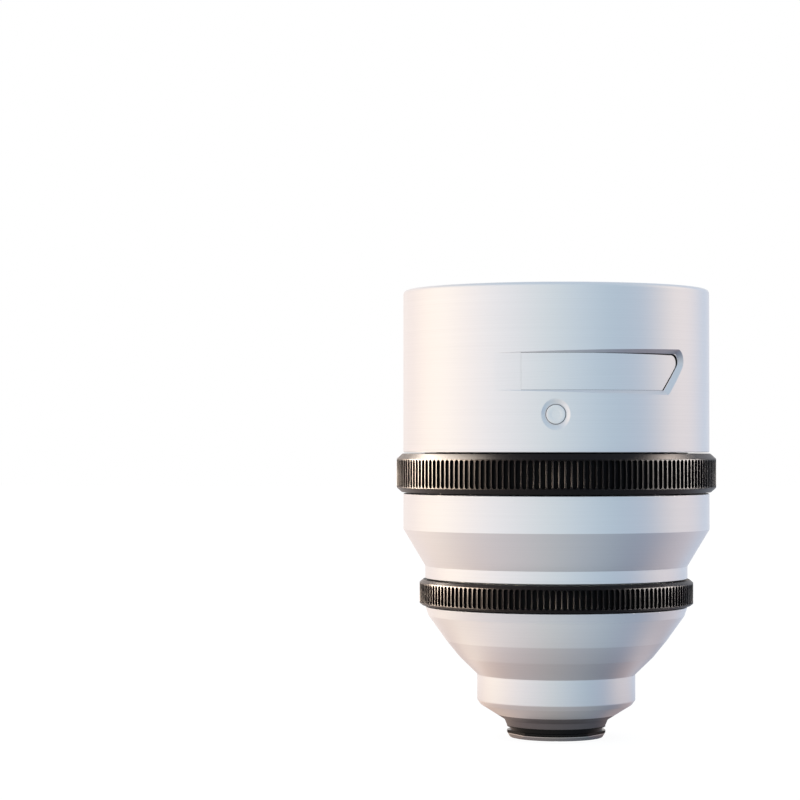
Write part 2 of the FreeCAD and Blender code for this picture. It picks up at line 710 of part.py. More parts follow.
def spherical_lens(label, clear, radius, low, high, under, over):
    """A lens with flat lands; under and over are (curve, whether the face bulges up)."""
    body = new_body(label)
    sketch = add_sketch(body, label + "_outline")
    lower = face_arc(sketch, clear, low, under[0], under[1])
    upper = face_arc(sketch, clear, high, over[0], over[1])
    lines = [
        (Vector(clear.value, low.value, 0), Vector(radius.value, low.value, 0)),
        (Vector(radius.value, low.value, 0), Vector(radius.value, high.value, 0)),
        (Vector(radius.value, high.value, 0), Vector(clear.value, high.value, 0)),
        (Vector(0, upper[3], 0), Vector(0, lower[3], 0)),
    ]
    low_land, edge, high_land, axis = [
        sketch.addGeometry(Part.LineSegment(start, end)) for start, end in lines
    ]
    joints = [
        (lower[0], lower[1], low_land, 1),
        (low_land, 2, edge, 1),
        (edge, 2, high_land, 1),
        (high_land, 2, upper[0], upper[1]),
        (upper[0], upper[2], axis, 1),
        (axis, 2, lower[0], lower[2]),
    ]
    for first, first_end, second, second_end in joints:
        rule = Sketcher.Constraint("Coincident", first, first_end, second, second_end)
        sketch.addConstraint(rule)
    held = [
        (low_land, 1, clear, low),
        (edge, 1, radius, low),
        (edge, 2, radius, high),
        (high_land, 2, clear, high),
    ]
    for line, place, across, up in held:
        bind(sketch, "DistanceX", line, place, across)
        bind(sketch, "DistanceY", line, place, up)
    bind(sketch, "DistanceX", axis, 1, ZERO)
    bind(sketch, "DistanceX", axis, 2, ZERO)
    feature = body.newObject("PartDesign::Revolution", label + "_turned")
    feature.Profile = sketch
    feature.ReferenceAxis = (sketch, ["V_Axis"])
    feature.Angle = 360
    body.recompute(True)
    return body


spherical_lens(
    "focus_lens_rear", focus_clear, focus_glass, focus_rear_low, focus_rear_high,
    (focus_curve_weak, False), (focus_curve_weak, True),
)
spherical_lens(
    "focus_lens_front", focus_clear, focus_glass, focus_front_low, focus_front_high,
    (focus_curve_weak, True), (focus_curve_strong, True),
)
tube("focus_lens_spacer", focus_clear, focus_glass, focus_rear_high, focus_front_low)
tube(
    "focus_retaining_ring", focus_clear, focus_glass, focus_front_high,
    focus_front_high + focus_ring_lock,
)

# Fine ring and its cam sleeve, joined by screws through the sleeve's flange
fine_top_chamfer = size("fine_top_chamfer", 0.7, "fine ring, upper chamfer")
fine_low_chamfer = size("fine_low_chamfer", 0.5, "fine ring, lower chamfer")
fine_flute_count = size("fine_flute_count", 150, "fine ring, flutes")
fine_flange_width = size("fine_flange_width", 3.5, "fine sleeve, width of its flange")
fine_flange_height = size("fine_flange_height", 1.5, "fine sleeve, height of its flange")
fine_screw_inset = size("fine_screw_inset", 1.75, "fine ring screws outside the sleeve")
fine_screw_head = size("fine_screw_head", 1.1, "fine ring screws, head radius")
fine_screw_shank = size("fine_screw_shank", 0.6, "fine ring screws, shank radius")
fine_screw_bite = size("fine_screw_bite", 2.0, "fine ring screws, depth in the ring")
fine_screw_length = fine_flange_height + fine_screw_bite
cavity_rise = size("cavity_rise", 0.5, "rear barrel, floor of its cavity above the facet")
sleeve_lift = size("sleeve_lift", 0.6, "fine sleeve above the floor of the cavity")
fine_flange_top = fine_ring_top - washer_height - end_gap
fine_flange_bottom = fine_flange_top - fine_flange_height
fine_flange_radius = fine_sleeve_outer + fine_flange_width
cavity_floor = middle_facet_top + cavity_rise
fine_sleeve_bottom = cavity_floor + sleeve_lift
fine_ring_bore = fine_sleeve_outer + seat_gap
fine_flange_bore = fine_flange_radius + seat_gap
fine_focus_ring = turned("fine_focus_ring", [
    (fine_ring_bore, fine_ring_bottom),
    (fine_ring_outer - fine_low_chamfer, fine_ring_bottom),
    (fine_ring_outer, fine_ring_bottom + fine_low_chamfer),
    (fine_ring_outer, fine_ring_top - fine_top_chamfer),
    (fine_ring_outer - fine_top_chamfer, fine_ring_top),
    (fine_flange_bore, fine_ring_top),
    (fine_flange_bore, fine_flange_bottom),
    (fine_ring_bore, fine_flange_bottom),
])
fine_cam_sleeve = turned("fine_cam_sleeve", [
    (fine_sleeve_inner, fine_sleeve_bottom),
    (fine_sleeve_outer, fine_sleeve_bottom),
    (fine_sleeve_outer, fine_flange_bottom),
    (fine_flange_radius, fine_flange_bottom),
    (fine_flange_radius, fine_flange_top),
    (fine_sleeve_inner, fine_flange_top),
])
fine_sweep = fine_turn + cam_margin + cam_margin
half_fine_sweep = fine_sweep.scaled(Size(1.0, "1"), TWO)
fine_climb = fine_travel.scaled(fine_sweep, fine_turn)
fine_start = fine_roller_level - fine_climb.scaled(Size(1.0, "1"), TWO)
cam_slots(
    fine_cam_sleeve, "fine_cam", fine_sleeve_inner - wide_cut, fine_sleeve_outer + wide_cut,
    fine_start, slot_radius + roller_gap, ROLLERS_AT + half_fine_sweep.value, fine_sweep,
    fine_climb, cam_count,
)
FINE_SCREWS_AT = 30.0
fine_screw_circle = fine_sleeve_outer + fine_screw_inset
screws(
    "fine_ring_screws", screw_count, fine_screw_circle, fine_flange_top, fine_screw_head,
    screw_head_height, fine_screw_shank, fine_screw_length, FINE_SCREWS_AT,
)
for screwed_piece in (fine_cam_sleeve, fine_focus_ring):
    screw_holes(
        screwed_piece, screwed_piece.Label + "_screw_holes", screw_count, fine_screw_circle,
        fine_flange_top, fine_screw_head + screw_gap, screw_head_height,
        fine_screw_shank + screw_gap, fine_screw_length + screw_gap, FINE_SCREWS_AT,
    )
tube(
    "fine_friction_washer", lower_tube_outer + friction_side,
    fine_flange_radius - friction_side, neck_bottom - washer_height, neck_bottom,
)

# Field stop on the main tube's web
field_stop_radius = size("field_stop_radius", 12.0, "field stop, radius of its hole")
field_stop_height = size("field_stop_height", 1.0, "field stop, height")
tube(
    "field_stop", field_stop_radius, main_tube_inner - seat_gap, web_top,
    web_top + field_stop_height,
)

# Eyepiece cell with its two lenses
eyepiece_wall = size("eyepiece_wall", 2.6, "eyepiece cell, wall")
eyepiece_rear_edge = size("eyepiece_rear_edge", 3.0, "rear eyepiece lens, edge")
eyepiece_spacer_height = size("eyepiece_spacer_height", 2.2, "spacer between eyepiece lenses")
eyepiece_front_edge = size("eyepiece_front_edge", 2.0, "front eyepiece lens, edge")
eyepiece_lock = size("eyepiece_lock", 1.8, "retaining ring of the eyepiece cell, height")
eyepiece_curve_strong = size("eyepiece_curve_strong", 32.0, "eyepiece lenses, strong faces")
eyepiece_curve_weak = size("eyepiece_curve_weak", 60.0, "eyepiece lenses, weak faces")
eyepiece_bore = eyepiece_cell_outer - eyepiece_wall
eyepiece_glass = eyepiece_bore - seat_gap
eyepiece_clear = eyepiece_glass - lens_land
eyepiece_cell = turned("eyepiece_cell", [
    (eyepiece_clear, eyepiece_bottom),
    (eyepiece_cell_outer, eyepiece_bottom),
    (eyepiece_cell_outer, eyepiece_top),
    (eyepiece_bore, eyepiece_top),
    (eyepiece_bore, eyepiece_bottom + cell_lip),
    (eyepiece_clear, eyepiece_bottom + cell_lip),
])
fine_stud_start = eyepiece_cell_outer - stud_depth
radial_holes(
    eyepiece_cell, "eyepiece_stud_holes", fine_stud_start - screw_gap,
    eyepiece_cell_outer + wide_cut, fine_roller_level, stud_radius + screw_gap, ROLLERS_FACE,
    cam_count,
)
rollers(
    "eyepiece_cam_rollers", fine_stud_start, stud_radius, eyepiece_cell_outer + sliding_gap,
    fine_sleeve_outer - roller_inset, roller_radius, fine_roller_level, ROLLERS_FACE, cam_count,
)
eyepiece_rear_low = eyepiece_bottom + cell_lip
eyepiece_rear_high = eyepiece_rear_low + eyepiece_rear_edge
eyepiece_front_low = eyepiece_rear_high + eyepiece_spacer_height
eyepiece_front_high = eyepiece_front_low + eyepiece_front_edge
spherical_lens(
    "eyepiece_lens_rear", eyepiece_clear, eyepiece_glass, eyepiece_rear_low,
    eyepiece_rear_high, (eyepiece_curve_weak, False), (eyepiece_curve_strong, True),
)
spherical_lens(
    "eyepiece_lens_front", eyepiece_clear, eyepiece_glass, eyepiece_front_low,
    eyepiece_front_high, (eyepiece_curve_weak, True), (eyepiece_curve_strong, True),
)
tube(
    "eyepiece_spacer", eyepiece_clear, eyepiece_glass, eyepiece_rear_high, eyepiece_front_low
)
tube(
    "eyepiece_retaining_ring", eyepiece_clear, eyepiece_glass, eyepiece_front_high,
    eyepiece_front_high + eyepiece_lock,
)

# Rear barrel: white band, three facets, cylinder, cone and the dark taper
rear_wall = size("rear_wall", 2.1, "rear barrel, wall around the rear cell")
rear_seat_rise = size("rear_seat_rise", 1.0, "seat of the rear cell above the cone")
corner_height = size("corner_height", 0.9, "rear cylinder, softened lower corner, height")
corner_width = size("corner_width", 0.65, "rear cylinder, softened lower corner, width")
waist_height = size("waist_height", 1.15, "dark taper, height of its slim foot")
waist_reach = size("waist_reach", 0.5, "dark taper, spread of its slim foot")
window_wall = size("window_wall", 1.0, "rear barrel, wall around the window")
window_ledge = size("window_ledge", 1.25, "rear barrel, ledge that the window sits on")
window_rise = size("window_rise", 2.6, "window above the phone mount")
rear_cell_bore = rear_cylinder_radius - rear_wall
rear_seat_level = rear_cone_top + rear_seat_rise
window_bore = mount_radius - window_wall
window_lip = window_bore - window_ledge
window_level = mount_top + window_rise
socket_bore = lower_tube_outer + seat_gap
cavity_radius = fine_sleeve_outer + sleeve_room
rear_barrel = turned("rear_barrel", [
    (window_lip, mount_top),
    (mount_radius, mount_top),
    (mount_radius + waist_reach, mount_top + waist_height),
    (taper_radius, taper_top),
    (rear_cylinder_radius - corner_width, rear_cone_top),
    (rear_cylinder_radius, rear_cone_top + corner_height),
    (rear_cylinder_radius, rear_cylinder_top),
    (low_facet_radius, low_facet_top),
    (middle_facet_radius, middle_facet_top),
    (top_facet_radius, top_facet_top),
    (neck_radius, rear_barrel_top),
    (cavity_radius, rear_barrel_top),
    (cavity_radius, cavity_floor),
    (socket_bore, cavity_floor),
    (socket_bore, socket_level),
    (rear_cell_bore, socket_level),
    (rear_cell_bore, rear_seat_level),
    (window_bore, rear_seat_level),
    (window_bore, window_level),
    (window_lip, window_level),
])

# Rear cell, its lens and ring, and the flat window that seals the back
rear_cell_wall = size("rear_cell_wall", 1.8, "rear cell, wall")
rear_lens_edge = size("rear_lens_edge", 3.0, "rear lens, edge")
rear_lens_lock = size("rear_lens_lock", 1.8, "retaining ring of the rear lens, height")
rear_curve_strong = size("rear_curve_strong", 30.0, "rear lens, strong face")
rear_curve_weak = size("rear_curve_weak", 60.0, "rear lens, weak face")
window_thickness = size("window_thickness", 1.2, "rear window, thickness")
rear_cell_outer = rear_cell_bore - seat_gap
rear_cell_top = socket_level - end_gap
rear_lens_bore = rear_cell_outer - rear_cell_wall
rear_glass = rear_lens_bore - seat_gap
rear_clear = rear_glass - lens_land
rear_lens_low = rear_seat_level + cell_lip
rear_lens_high = rear_lens_low + rear_lens_edge
turned("rear_lens_cell", [
    (rear_clear, rear_seat_level),
    (rear_cell_outer, rear_seat_level),
    (rear_cell_outer, rear_cell_top),
    (rear_lens_bore, rear_cell_top),
    (rear_lens_bore, rear_lens_low),
    (rear_clear, rear_lens_low),
])
spherical_lens(
    "rear_lens", rear_clear, rear_glass, rear_lens_low, rear_lens_high,
    (rear_curve_weak, False), (rear_curve_strong, True),
)
tube(
    "rear_retaining_ring", rear_clear, rear_glass, rear_lens_high,
    rear_lens_high + rear_lens_lock,
)
window_radius = window_bore - seat_gap
window_top = window_level + window_thickness
tube("rear_window", ZERO, window_radius, window_level, window_top)
tube("window_retaining_ring", window_lip, window_radius, window_top, rear_seat_level - end_gap)

# Phone mount: a ring with three bayonet lugs, screwed under the rear barrel
mount_wall = size("mount_wall", 2.45, "phone mount, wall")
lug_height = size("lug_height", 1.35, "bayonet lugs, height")
lug_reach = size("lug_reach", 0.65, "bayonet lugs, reach outward")
lug_chamfer = size("lug_chamfer", 0.55, "bayonet lugs, lower chamfer")
lug_window_half = size("lug_window_half", 4.0, "half width of the cuts between the lugs")
flange_lip = size("flange_lip", 0.25, "bright lip above the lugs, height")
mount_screw_inset = size("mount_screw_inset", 1.1, "mount screws outside the mount's bore")
mount_screw_head = size("mount_screw_head", 0.85, "mount screws, head radius")
mount_screw_shank = size("mount_screw_shank", 0.45, "mount screws, shank radius")
mount_screw_bite = size("mount_screw_bite", 2.0, "mount screws, depth in the rear barrel")
mount_bore = mount_radius - mount_wall
lug_root = mount_radius - lug_reach
mount_ring = turned("mount_ring", [
    (mount_bore, ZERO),
    (mount_radius - lug_chamfer, ZERO),
    (mount_radius, lug_chamfer),
    (mount_radius, lug_height),
    (lug_root, lug_height),
    (lug_root, mount_top - flange_lip),
    (mount_radius, mount_top - flange_lip),
    (mount_radius, mount_top),
    (mount_bore, mount_top),
])
LUG_WINDOWS_FACE = 60.0
lug_window = add_sketch(mount_ring, "lug_window", LUG_WINDOWS_FACE, lug_root)
add_polygon(lug_window, [
    (ZERO - lug_window_half, ZERO - wide_cut),
    (lug_window_half, ZERO - wide_cut),
    (lug_window_half, lug_height),
    (ZERO - lug_window_half, lug_height),
])
lug_window_cut = pocket(mount_ring, lug_window, wide_cut + lug_reach)
around(mount_ring, "lug_windows", [lug_window_cut], cam_count)
MOUNT_SCREWS_AT = 30.0
mount_screw_circle = mount_bore + mount_screw_inset
mount_screw_level = ZERO
mount_screw_length = mount_height + mount_screw_bite
screws(
    "mount_screws", screw_count, mount_screw_circle, mount_screw_level, mount_screw_head,
    screw_head_height, mount_screw_shank, mount_screw_length, MOUNT_SCREWS_AT, True,
)
for screwed_piece in (mount_ring, rear_barrel):
    screw_holes(
        screwed_piece, screwed_piece.Label + "_screw_holes", screw_count, mount_screw_circle,
        mount_screw_level, mount_screw_head + screw_gap, screw_head_height,
        mount_screw_shank + screw_gap, mount_screw_length + screw_gap, MOUNT_SCREWS_AT, True,
    )

# Front barrel: filter thread, bore for the front cell, inner lip, button well
filter_recess = size("filter_recess", 4.6, "depth of the filter thread behind the rim")
filter_step = size("filter_step", 0.59, "filter thread's crests outside the front bore")
rim_lead = size("rim_lead", 0.6, "lead-in chamfer of the filter thread")
rim_round = size("rim_round", 0.8, "rounding of the front rim")
filter_radius = front_bore + filter_step
filter_floor = rim_level - filter_recess
trim_height = size("trim_height", 2.0, "front trim ring, height")
front_lock_height = size("front_lock_height", 2.6, "front retaining ring, height")
front_lens_edge = size("front_lens_edge", 2.6, "front lens, edge")
front_spacer_height = size("front_spacer_height", 1.8, "spacer between the front lenses")
second_lens_edge = size("second_lens_edge", 5.2, "second lens, edge")
front_cell_lip = size("front_cell_lip", 1.4, "lip of the front cell")
front_cell_wall = size("front_cell_wall", 3.3, "front cell, wall")
front_curve = size("front_curve", 90.0, "front lens and second lens, facing curves")
front_curve_weak = size("front_curve_weak", 220.0, "front and second lens, weak faces")
front_cell_top = filter_floor - trim_height
front_lens_high = front_cell_top - front_lock_height
front_lens_low = front_lens_high - front_lens_edge
second_lens_high = front_lens_low - front_spacer_height
second_lens_low = second_lens_high - second_lens_edge
front_cell_bottom = second_lens_low - front_cell_lip
front_cell_outer = front_bore - seat_gap
front_cell_bore = front_cell_outer - front_cell_wall
front_glass = front_cell_bore - seat_gap
front_clear = front_glass - lens_land
front_shell = turned("front_barrel_turned", [
    (main_tube_outer + seat_gap, front_barrel_bottom),
    (barrel_radius, front_barrel_bottom),
    (barrel_radius, rim_level),
    (filter_radius + rim_lead, rim_level),
    (filter_radius, rim_level - rim_lead),
    (filter_radius, filter_floor),
    (front_bore, filter_floor),
    (front_bore, front_cell_bottom),
    (seat_bore, front_cell_bottom),
    (seat_bore, lip_top),
    (main_tube_outer + seat_gap, lip_top),
])
soften(front_shell, "Fillet", "front_rim_round", barrel_radius, rim_level, rim_round)
soften(front_shell, "Chamfer", "front_edge", barrel_radius, front_barrel_bottom, edge_break)
screw_holes(
    front_shell, "lip_screw_holes", screw_count, flange_screw_circle, flange_top,
    flange_screw_head + screw_gap, screw_head_height, flange_screw_shank + screw_gap,
    flange_screw_length + screw_gap, FLANGE_SCREWS_AT,
)

# Push button: a plunger in a well of the front barrel, with its spring and clip
button_rise = size("button_rise", 7.12, "button above the foot of the front barrel")
button_radius = size("button_radius", 2.0, "push button, radius")
button_gap = size("button_gap", 0.12, "push button, gap in its well")
button_sunk = size("button_sunk", 0.25, "push button's face below the barrel's skin")
button_thickness = size("button_thickness", 1.5, "push button, thickness of its head")
spring_height = size("spring_height", 1.25, "button spring, height at rest")
dish_depth = size("dish_depth", 0.6, "dished seat round the button, depth")
stem_radius = size("stem_radius", 0.9, "push button, stem radius")
stem_end = size("stem_end", 1.0, "stem past the barrel's inner wall")
clip_radius = size("clip_radius", 1.7, "retaining clip, radius")
clip_thickness = size("clip_thickness", 0.4, "retaining clip, thickness")
clip_gap = size("clip_gap", 0.15, "retaining clip off the barrel's inner wall")
clip_bite = size("clip_bite", 0.2, "groove of the clip in the stem")
spring_wire = size("spring_wire", 0.16, "button spring, wire diameter")
spring_turns = size("spring_turns", 3.0, "button spring, turns")
button_level = front_barrel_bottom + button_rise
button_face = barrel_radius - button_sunk
button_back = button_face - button_thickness
well_floor = button_back - spring_height
well_radius = button_radius + button_gap
stem_tip = seat_bore - stem_end
clip_outer = seat_bore - clip_gap
clip_inner = clip_outer - clip_thickness
dish_foot = barrel_radius - dish_depth
well_mouth = barrel_radius + wide_cut
well = button_sketch(front_shell, "button_well", button_level, [
    (seat_bore - wide_cut, ZERO),
    (seat_bore - wide_cut, stem_radius + button_gap),
    (well_floor, stem_radius + button_gap),
    (well_floor, well_radius),
    (dish_foot, well_radius),
    (well_mouth, well_radius + dish_depth + wide_cut),
    (well_mouth, ZERO),
])
well_cut = front_shell.newObject("PartDesign::Groove", "button_well_cut")
well_cut.Profile = well
well_cut.ReferenceAxis = (well, ["Axis0"])
well_cut.Angle = 360
front_shell.recompute(True)


def turned_on_button(label, outline):
    """A piece turned about the push button's own axis."""
    body = new_body(label)
    sketch = button_sketch(body, label + "_outline", button_level, outline)
    feature = body.newObject("PartDesign::Revolution", label + "_turned")
    feature.Profile = sketch
    feature.ReferenceAxis = (sketch, ["Axis0"])
    feature.Angle = 360
    body.recompute(True)
    return body


face_break = size("face_break", 0.2, "push button, chamfer of its face")
groove_inner = clip_inner - screw_gap
groove_outer = clip_outer + screw_gap
groove_radius = stem_radius - clip_bite
turned_on_button("button_plunger", [
    (stem_tip, ZERO),
    (stem_tip, stem_radius),
    (groove_inner, stem_radius),
    (groove_inner, groove_radius),
    (groove_outer, groove_radius),
    (groove_outer, stem_radius),
    (button_back, stem_radius),
    (button_back, button_radius),
    (button_face - face_break, button_radius),
    (button_face, button_radius - face_break),
    (button_face, ZERO),
])
clip_hole = groove_radius + screw_gap
button_clip = new_body("button_clip")
clip_sketch = add_sketch(button_clip, "clip_outline", 0.0, clip_inner)
add_circle(clip_sketch, ZERO, button_level, clip_radius)
add_circle(clip_sketch, ZERO, button_level, clip_hole)
pad(button_clip, clip_sketch, clip_thickness)
button_clip.recompute(True)
clip_mouth = add_sketch(button_clip, "clip_mouth", 0.0, clip_inner - wide_cut)
add_polygon(clip_mouth, [
    (ZERO - stem_radius, button_level),
    (stem_radius, button_level),
    (stem_radius, button_level + clip_radius + wide_cut),
    (ZERO - stem_radius, button_level + clip_radius + wide_cut),
])
pocket(button_clip, clip_mouth, clip_thickness + wide_cut + wide_cut)

button_spring = new_body("button_spring")
spring_sketch = button_spring.newObject("Sketcher::SketchObject", "spring_wire_section")
spring_sketch.AttachmentSupport = [(origin_feature(button_spring, "YZ_Plane"), "")]
spring_sketch.MapMode = "FlatFace"
half_wire = spring_wire.scaled(Size(1.0, "1"), TWO)
spring_foot = well_floor + half_wire + screw_gap
spring_reach = spring_height - spring_wire - screw_gap - screw_gap
coil_radius = stem_radius + button_gap + spring_wire
add_circle(spring_sketch, ZERO - spring_foot, button_level + coil_radius, half_wire)
spring_axis = spring_sketch.addGeometry(Part.LineSegment(
    Vector(-spring_foot.value, button_level.value, 0),
    Vector(-button_back.value, button_level.value, 0),
), True)
for place, far in ((1, spring_foot), (2, button_back)):
    bind(spring_sketch, "DistanceX", spring_axis, place, ZERO - far)
    bind(spring_sketch, "DistanceY", spring_axis, place, button_level)
coil = button_spring.newObject("PartDesign::AdditiveHelix", "spring_coil")
coil.Profile = spring_sketch
coil.ReferenceAxis = (spring_sketch, ["Axis0"])
coil.Mode = "height-turns-angle"
coil.setExpression("Height", spring_reach.text)
coil.setExpression("Turns", spring_turns.text)
button_spring.recompute(True)

# Name recess: milled off centre, so its floor runs out to nothing on the left, with
# bevelled walls, a slanted right end and a blank plate let into the floor
recess_low = size("recess_low", 11.65, "floor of the recess above the barrel's foot, lower edge")
recess_high = size("recess_high", 18.6, "floor of the recess above the barrel's foot, upper edge")
recess_depth = size("recess_depth", 0.9, "recess, greatest depth")
recess_deepest = size("recess_deepest", 68.7, "azimuth of the greatest depth, degrees")
recess_end_low = size("recess_end_low", 1.6, "slanted end, how far its foot lies to the left")
recess_end_high = size("recess_end_high", 4.2, "slanted end, how far its head lies to the right")
recess_corner = size("recess_corner", 1.45, "slanted end, radius of its upper corner")
plate_thickness = size("plate_thickness", 0.5, "name plate, thickness")
plate_gap = size("plate_gap", 0.2, "name plate, gap at its slanted end")
plate_left = size("plate_left", 25.7, "name plate, how far it runs to the left")
recess_left = size("recess_left", 40.0, "recess, how far its cutter runs to the left")
recess_reach = size("recess_reach", 20.0, "recess, how far its blocks reach inward")
recess_shoulder = size("recess_shoulder", 1.5, "recess block, flat left of its corner")
recess_clear = size("recess_clear", 3.0, "recess block, room beside the bevels")
bevel_room = size("bevel_room", 0.15, "slanted end's bevel above the upper bevel")
bevel_angle = size("bevel_angle", 45.0, "bevel of the slanted end, degrees")
plate_side = size("plate_side", 0.04, "name plate, gap above and below")
RECESS_END_FACES = 47.0
floor_low = front_barrel_bottom + recess_low
floor_high = front_barrel_bottom + recess_high
recess_floor = barrel_radius - recess_depth


def off_centre(label, outline):
    """A cutter or plate turned about the recess's own axis, beside the lens axis."""
    body = document.addObject("PartDesign::Body", label)
    revolve(body, label + "_outline", outline)
    angle = math.radians(recess_deepest.value)
    across = -recess_depth.value * math.sin(angle)
    back = recess_depth.value * math.cos(angle)
    body.Placement = Placement(Vector(across, back, 0), Rotation())
    aim = recess_deepest.text
    body.setExpression("Placement.Base.x", f"-({recess_depth.text}) * sin({aim})")
    body.setExpression("Placement.Base.y", f"({recess_depth.text}) * cos({aim})")
    body.recompute(True)
    return body


def slanted_end(label, shrink, top, left, face):
    """A block that ends in the recess's slanted end, drawn in by shrink, from face inward."""
    body = document.addObject("PartDesign::Body", label)
    sketch = add_sketch(body, label + "_outline", RECESS_END_FACES, face)
    rise = floor_high - floor_low
    run = recess_end_low + recess_end_high
    add_rounded_polygon(sketch, [
        (ZERO - left, floor_low - rise),
        (ZERO - recess_end_low - run - shrink, floor_low - rise),
        (recess_end_high - shrink, top),
        (ZERO - recess_shoulder, top),
        (ZERO - recess_shoulder - recess_clear, top + recess_clear),
        (ZERO - left, top + recess_clear),
    ], 2, recess_corner)
    pad(body, sketch, recess_reach, True)
    body.recompute(True)
    return body, sketch


def common(label, first, second):
    """The solid that two others share."""
    feature = document.addObject("Part::Common", label)
    feature.Base = first
    feature.Tool = second
    feature.recompute(True)
    return feature


def cut(label, base, tool):
    """One solid less another."""
    feature = document.addObject("Part::Cut", label)
    feature.Base = base
    feature.Tool = tool
    feature.recompute(True)
    return feature


recess_ring = off_centre("recess_ring", [
    (barrel_radius, floor_low),
    (barrel_radius + recess_clear, floor_low - recess_clear),
    (barrel_radius + recess_clear, floor_high + recess_clear),
    (barrel_radius, floor_high),
])
recess_block, recess_outline = slanted_end(
    "recess_block", ZERO - bevel_room, floor_high + bevel_room, recess_left, recess_floor
)
recess_flare = pad(recess_block, recess_outline, recess_clear)
recess_flare.setExpression("TaperAngle", bevel_angle.text)
recess_block.recompute(True)
recess_cutter = common("recess_cutter", recess_ring, recess_block)
seat_ring = off_centre("plate_seat_ring", [
    (barrel_radius - plate_thickness - screw_gap, floor_low),
    (barrel_radius + plate_side, floor_low),
    (barrel_radius + plate_side, floor_high),
    (barrel_radius - plate_thickness - screw_gap, floor_high),
])
seat_block = slanted_end(
    "plate_seat_block", ZERO, floor_high, plate_left + screw_gap, well_mouth
)[0]
plate_seat = common("plate_seat", seat_ring, seat_block)
plate_ring = off_centre("plate_ring", [
    (barrel_radius - plate_thickness, floor_low + plate_side),
    (barrel_radius, floor_low + plate_side),
    (barrel_radius, floor_high - plate_side),
    (barrel_radius - plate_thickness, floor_high - plate_side),
])
plate_block = slanted_end(
    "plate_block", plate_gap, floor_high - plate_side, plate_left, well_mouth
)[0]
parts["name_plate"] = common("name_plate", plate_ring, plate_block)
milled_shell = cut("front_barrel_milled", front_shell, recess_cutter)
parts["front_barrel"] = cut("front_barrel", milled_shell, plate_seat)
del parts["front_barrel_turned"]

# Front cell with the front lens, second lens, spacer and retaining ring
turned("front_lens_cell", [
    (front_clear, front_cell_bottom),
    (front_cell_outer, front_cell_bottom),
    (front_cell_outer, front_cell_top),
    (front_cell_bore, front_cell_top),
    (front_cell_bore, second_lens_low),
    (front_clear, second_lens_low),
])
spherical_lens(
    "second_lens", front_clear, front_glass, second_lens_low, second_lens_high,
    (front_curve_weak, False), (front_curve, False),
)
spherical_lens(
    "front_lens", front_clear, front_glass, front_lens_low, front_lens_high,
    (front_curve_weak, False), (front_curve, True),
)
tube("front_lens_spacer", front_clear, front_glass, second_lens_high, front_lens_low)
tube("front_retaining_ring", front_clear, front_glass, front_lens_high, front_cell_top)
trim_low_radius = size("trim_low_radius", 0.4, "trim ring's mouth outside the clear glass, foot")
trim_high_radius = size("trim_high_radius", 3.2, "trim ring's mouth outside the clear glass, top")
turned("front_trim_ring", [
    (front_clear + trim_low_radius, front_cell_top),
    (front_cell_outer, front_cell_top),
    (front_cell_outer, filter_floor),
    (front_clear + trim_high_radius, filter_floor),
])

# Ribbed baffle between the main tube and the front cell
baffle_wall = size("baffle_wall", 0.9, "light baffle, wall")
baffle_inset = size("baffle_inset", 0.1, "light baffle inside the main tube's skin")
baffle_rib = size("baffle_rib", 0.6, "light baffle, height of its ribs")
baffle_ribs = size("baffle_ribs", 4, "light baffle, ribs")
baffle_outer = main_tube_outer - baffle_inset
baffle_inner = baffle_outer - baffle_wall
baffle_top = front_cell_bottom - end_gap
baffle_steps = baffle_ribs + Size(1.0, "1")
baffle_pitch = (baffle_top - flange_top).scaled(Size(1.0, "1"), baffle_steps)
rib_rise = baffle_pitch.scaled(Size(1.0, "1"), TWO)
rib_level = flange_top
ribs = [(baffle_inner, rib_level)]
for rib in range(int(baffle_ribs.value)):
    ribs.append((baffle_inner - baffle_rib, rib_level + rib_rise))
    rib_level = rib_level + baffle_pitch
    ribs.append((baffle_inner, rib_level))
turned("light_baffle", [
    (baffle_outer, flange_top), (baffle_outer, baffle_top), (baffle_inner, baffle_top),
] + ribs[::-1])

# Middle cell in the head of the main tube, with its lens and ring
middle_cell_height = size("middle_cell_height", 3.9, "middle cell, height")
middle_cell_wall = size("middle_cell_wall", 2.3, "middle cell, wall")
middle_lens_edge = size("middle_lens_edge", 1.4, "middle lens, edge")
middle_curve_weak = size("middle_curve_weak", 80.0, "middle lens, weak face")
middle_curve_strong = size("middle_curve_strong", 50.0, "middle lens, strong face")
middle_cell_outer = main_tube_inner - seat_gap
middle_cell_bottom = flange_top - middle_cell_height
middle_bore_radius = middle_cell_outer - middle_cell_wall
middle_glass = middle_bore_radius - seat_gap
middle_clear = middle_glass - lens_land
middle_lens_low = middle_cell_bottom + cell_lip
middle_lens_high = middle_lens_low + middle_lens_edge
turned("middle_lens_cell", [
    (middle_clear, middle_cell_bottom),
    (middle_cell_outer, middle_cell_bottom),
    (middle_cell_outer, flange_top),
    (middle_bore_radius, flange_top),
    (middle_bore_radius, middle_lens_low),
    (middle_clear, middle_lens_low),
])
spherical_lens(
    "middle_lens", middle_clear, middle_glass, middle_lens_low, middle_lens_high,
    (middle_curve_weak, True), (middle_curve_strong, True),
)
tube("middle_retaining_ring", middle_clear, middle_glass, middle_lens_high, flange_top)

# Flutes of both grips
flutes(
    focus_ring, "focus_flutes", focus_ring_outer, flute_depth, flute_half_width,
    focus_ring_bottom + focus_flute_end + flute_half_width,
    focus_ring_top - focus_flute_end - flute_half_width, focus_flute_count,
)
flutes(
    fine_focus_ring, "fine_flutes", fine_ring_outer, flute_depth, flute_half_width,
    fine_ring_bottom + fine_low_chamfer + flute_half_width,
    fine_ring_top - fine_top_chamfer - flute_half_width, fine_flute_count,
)

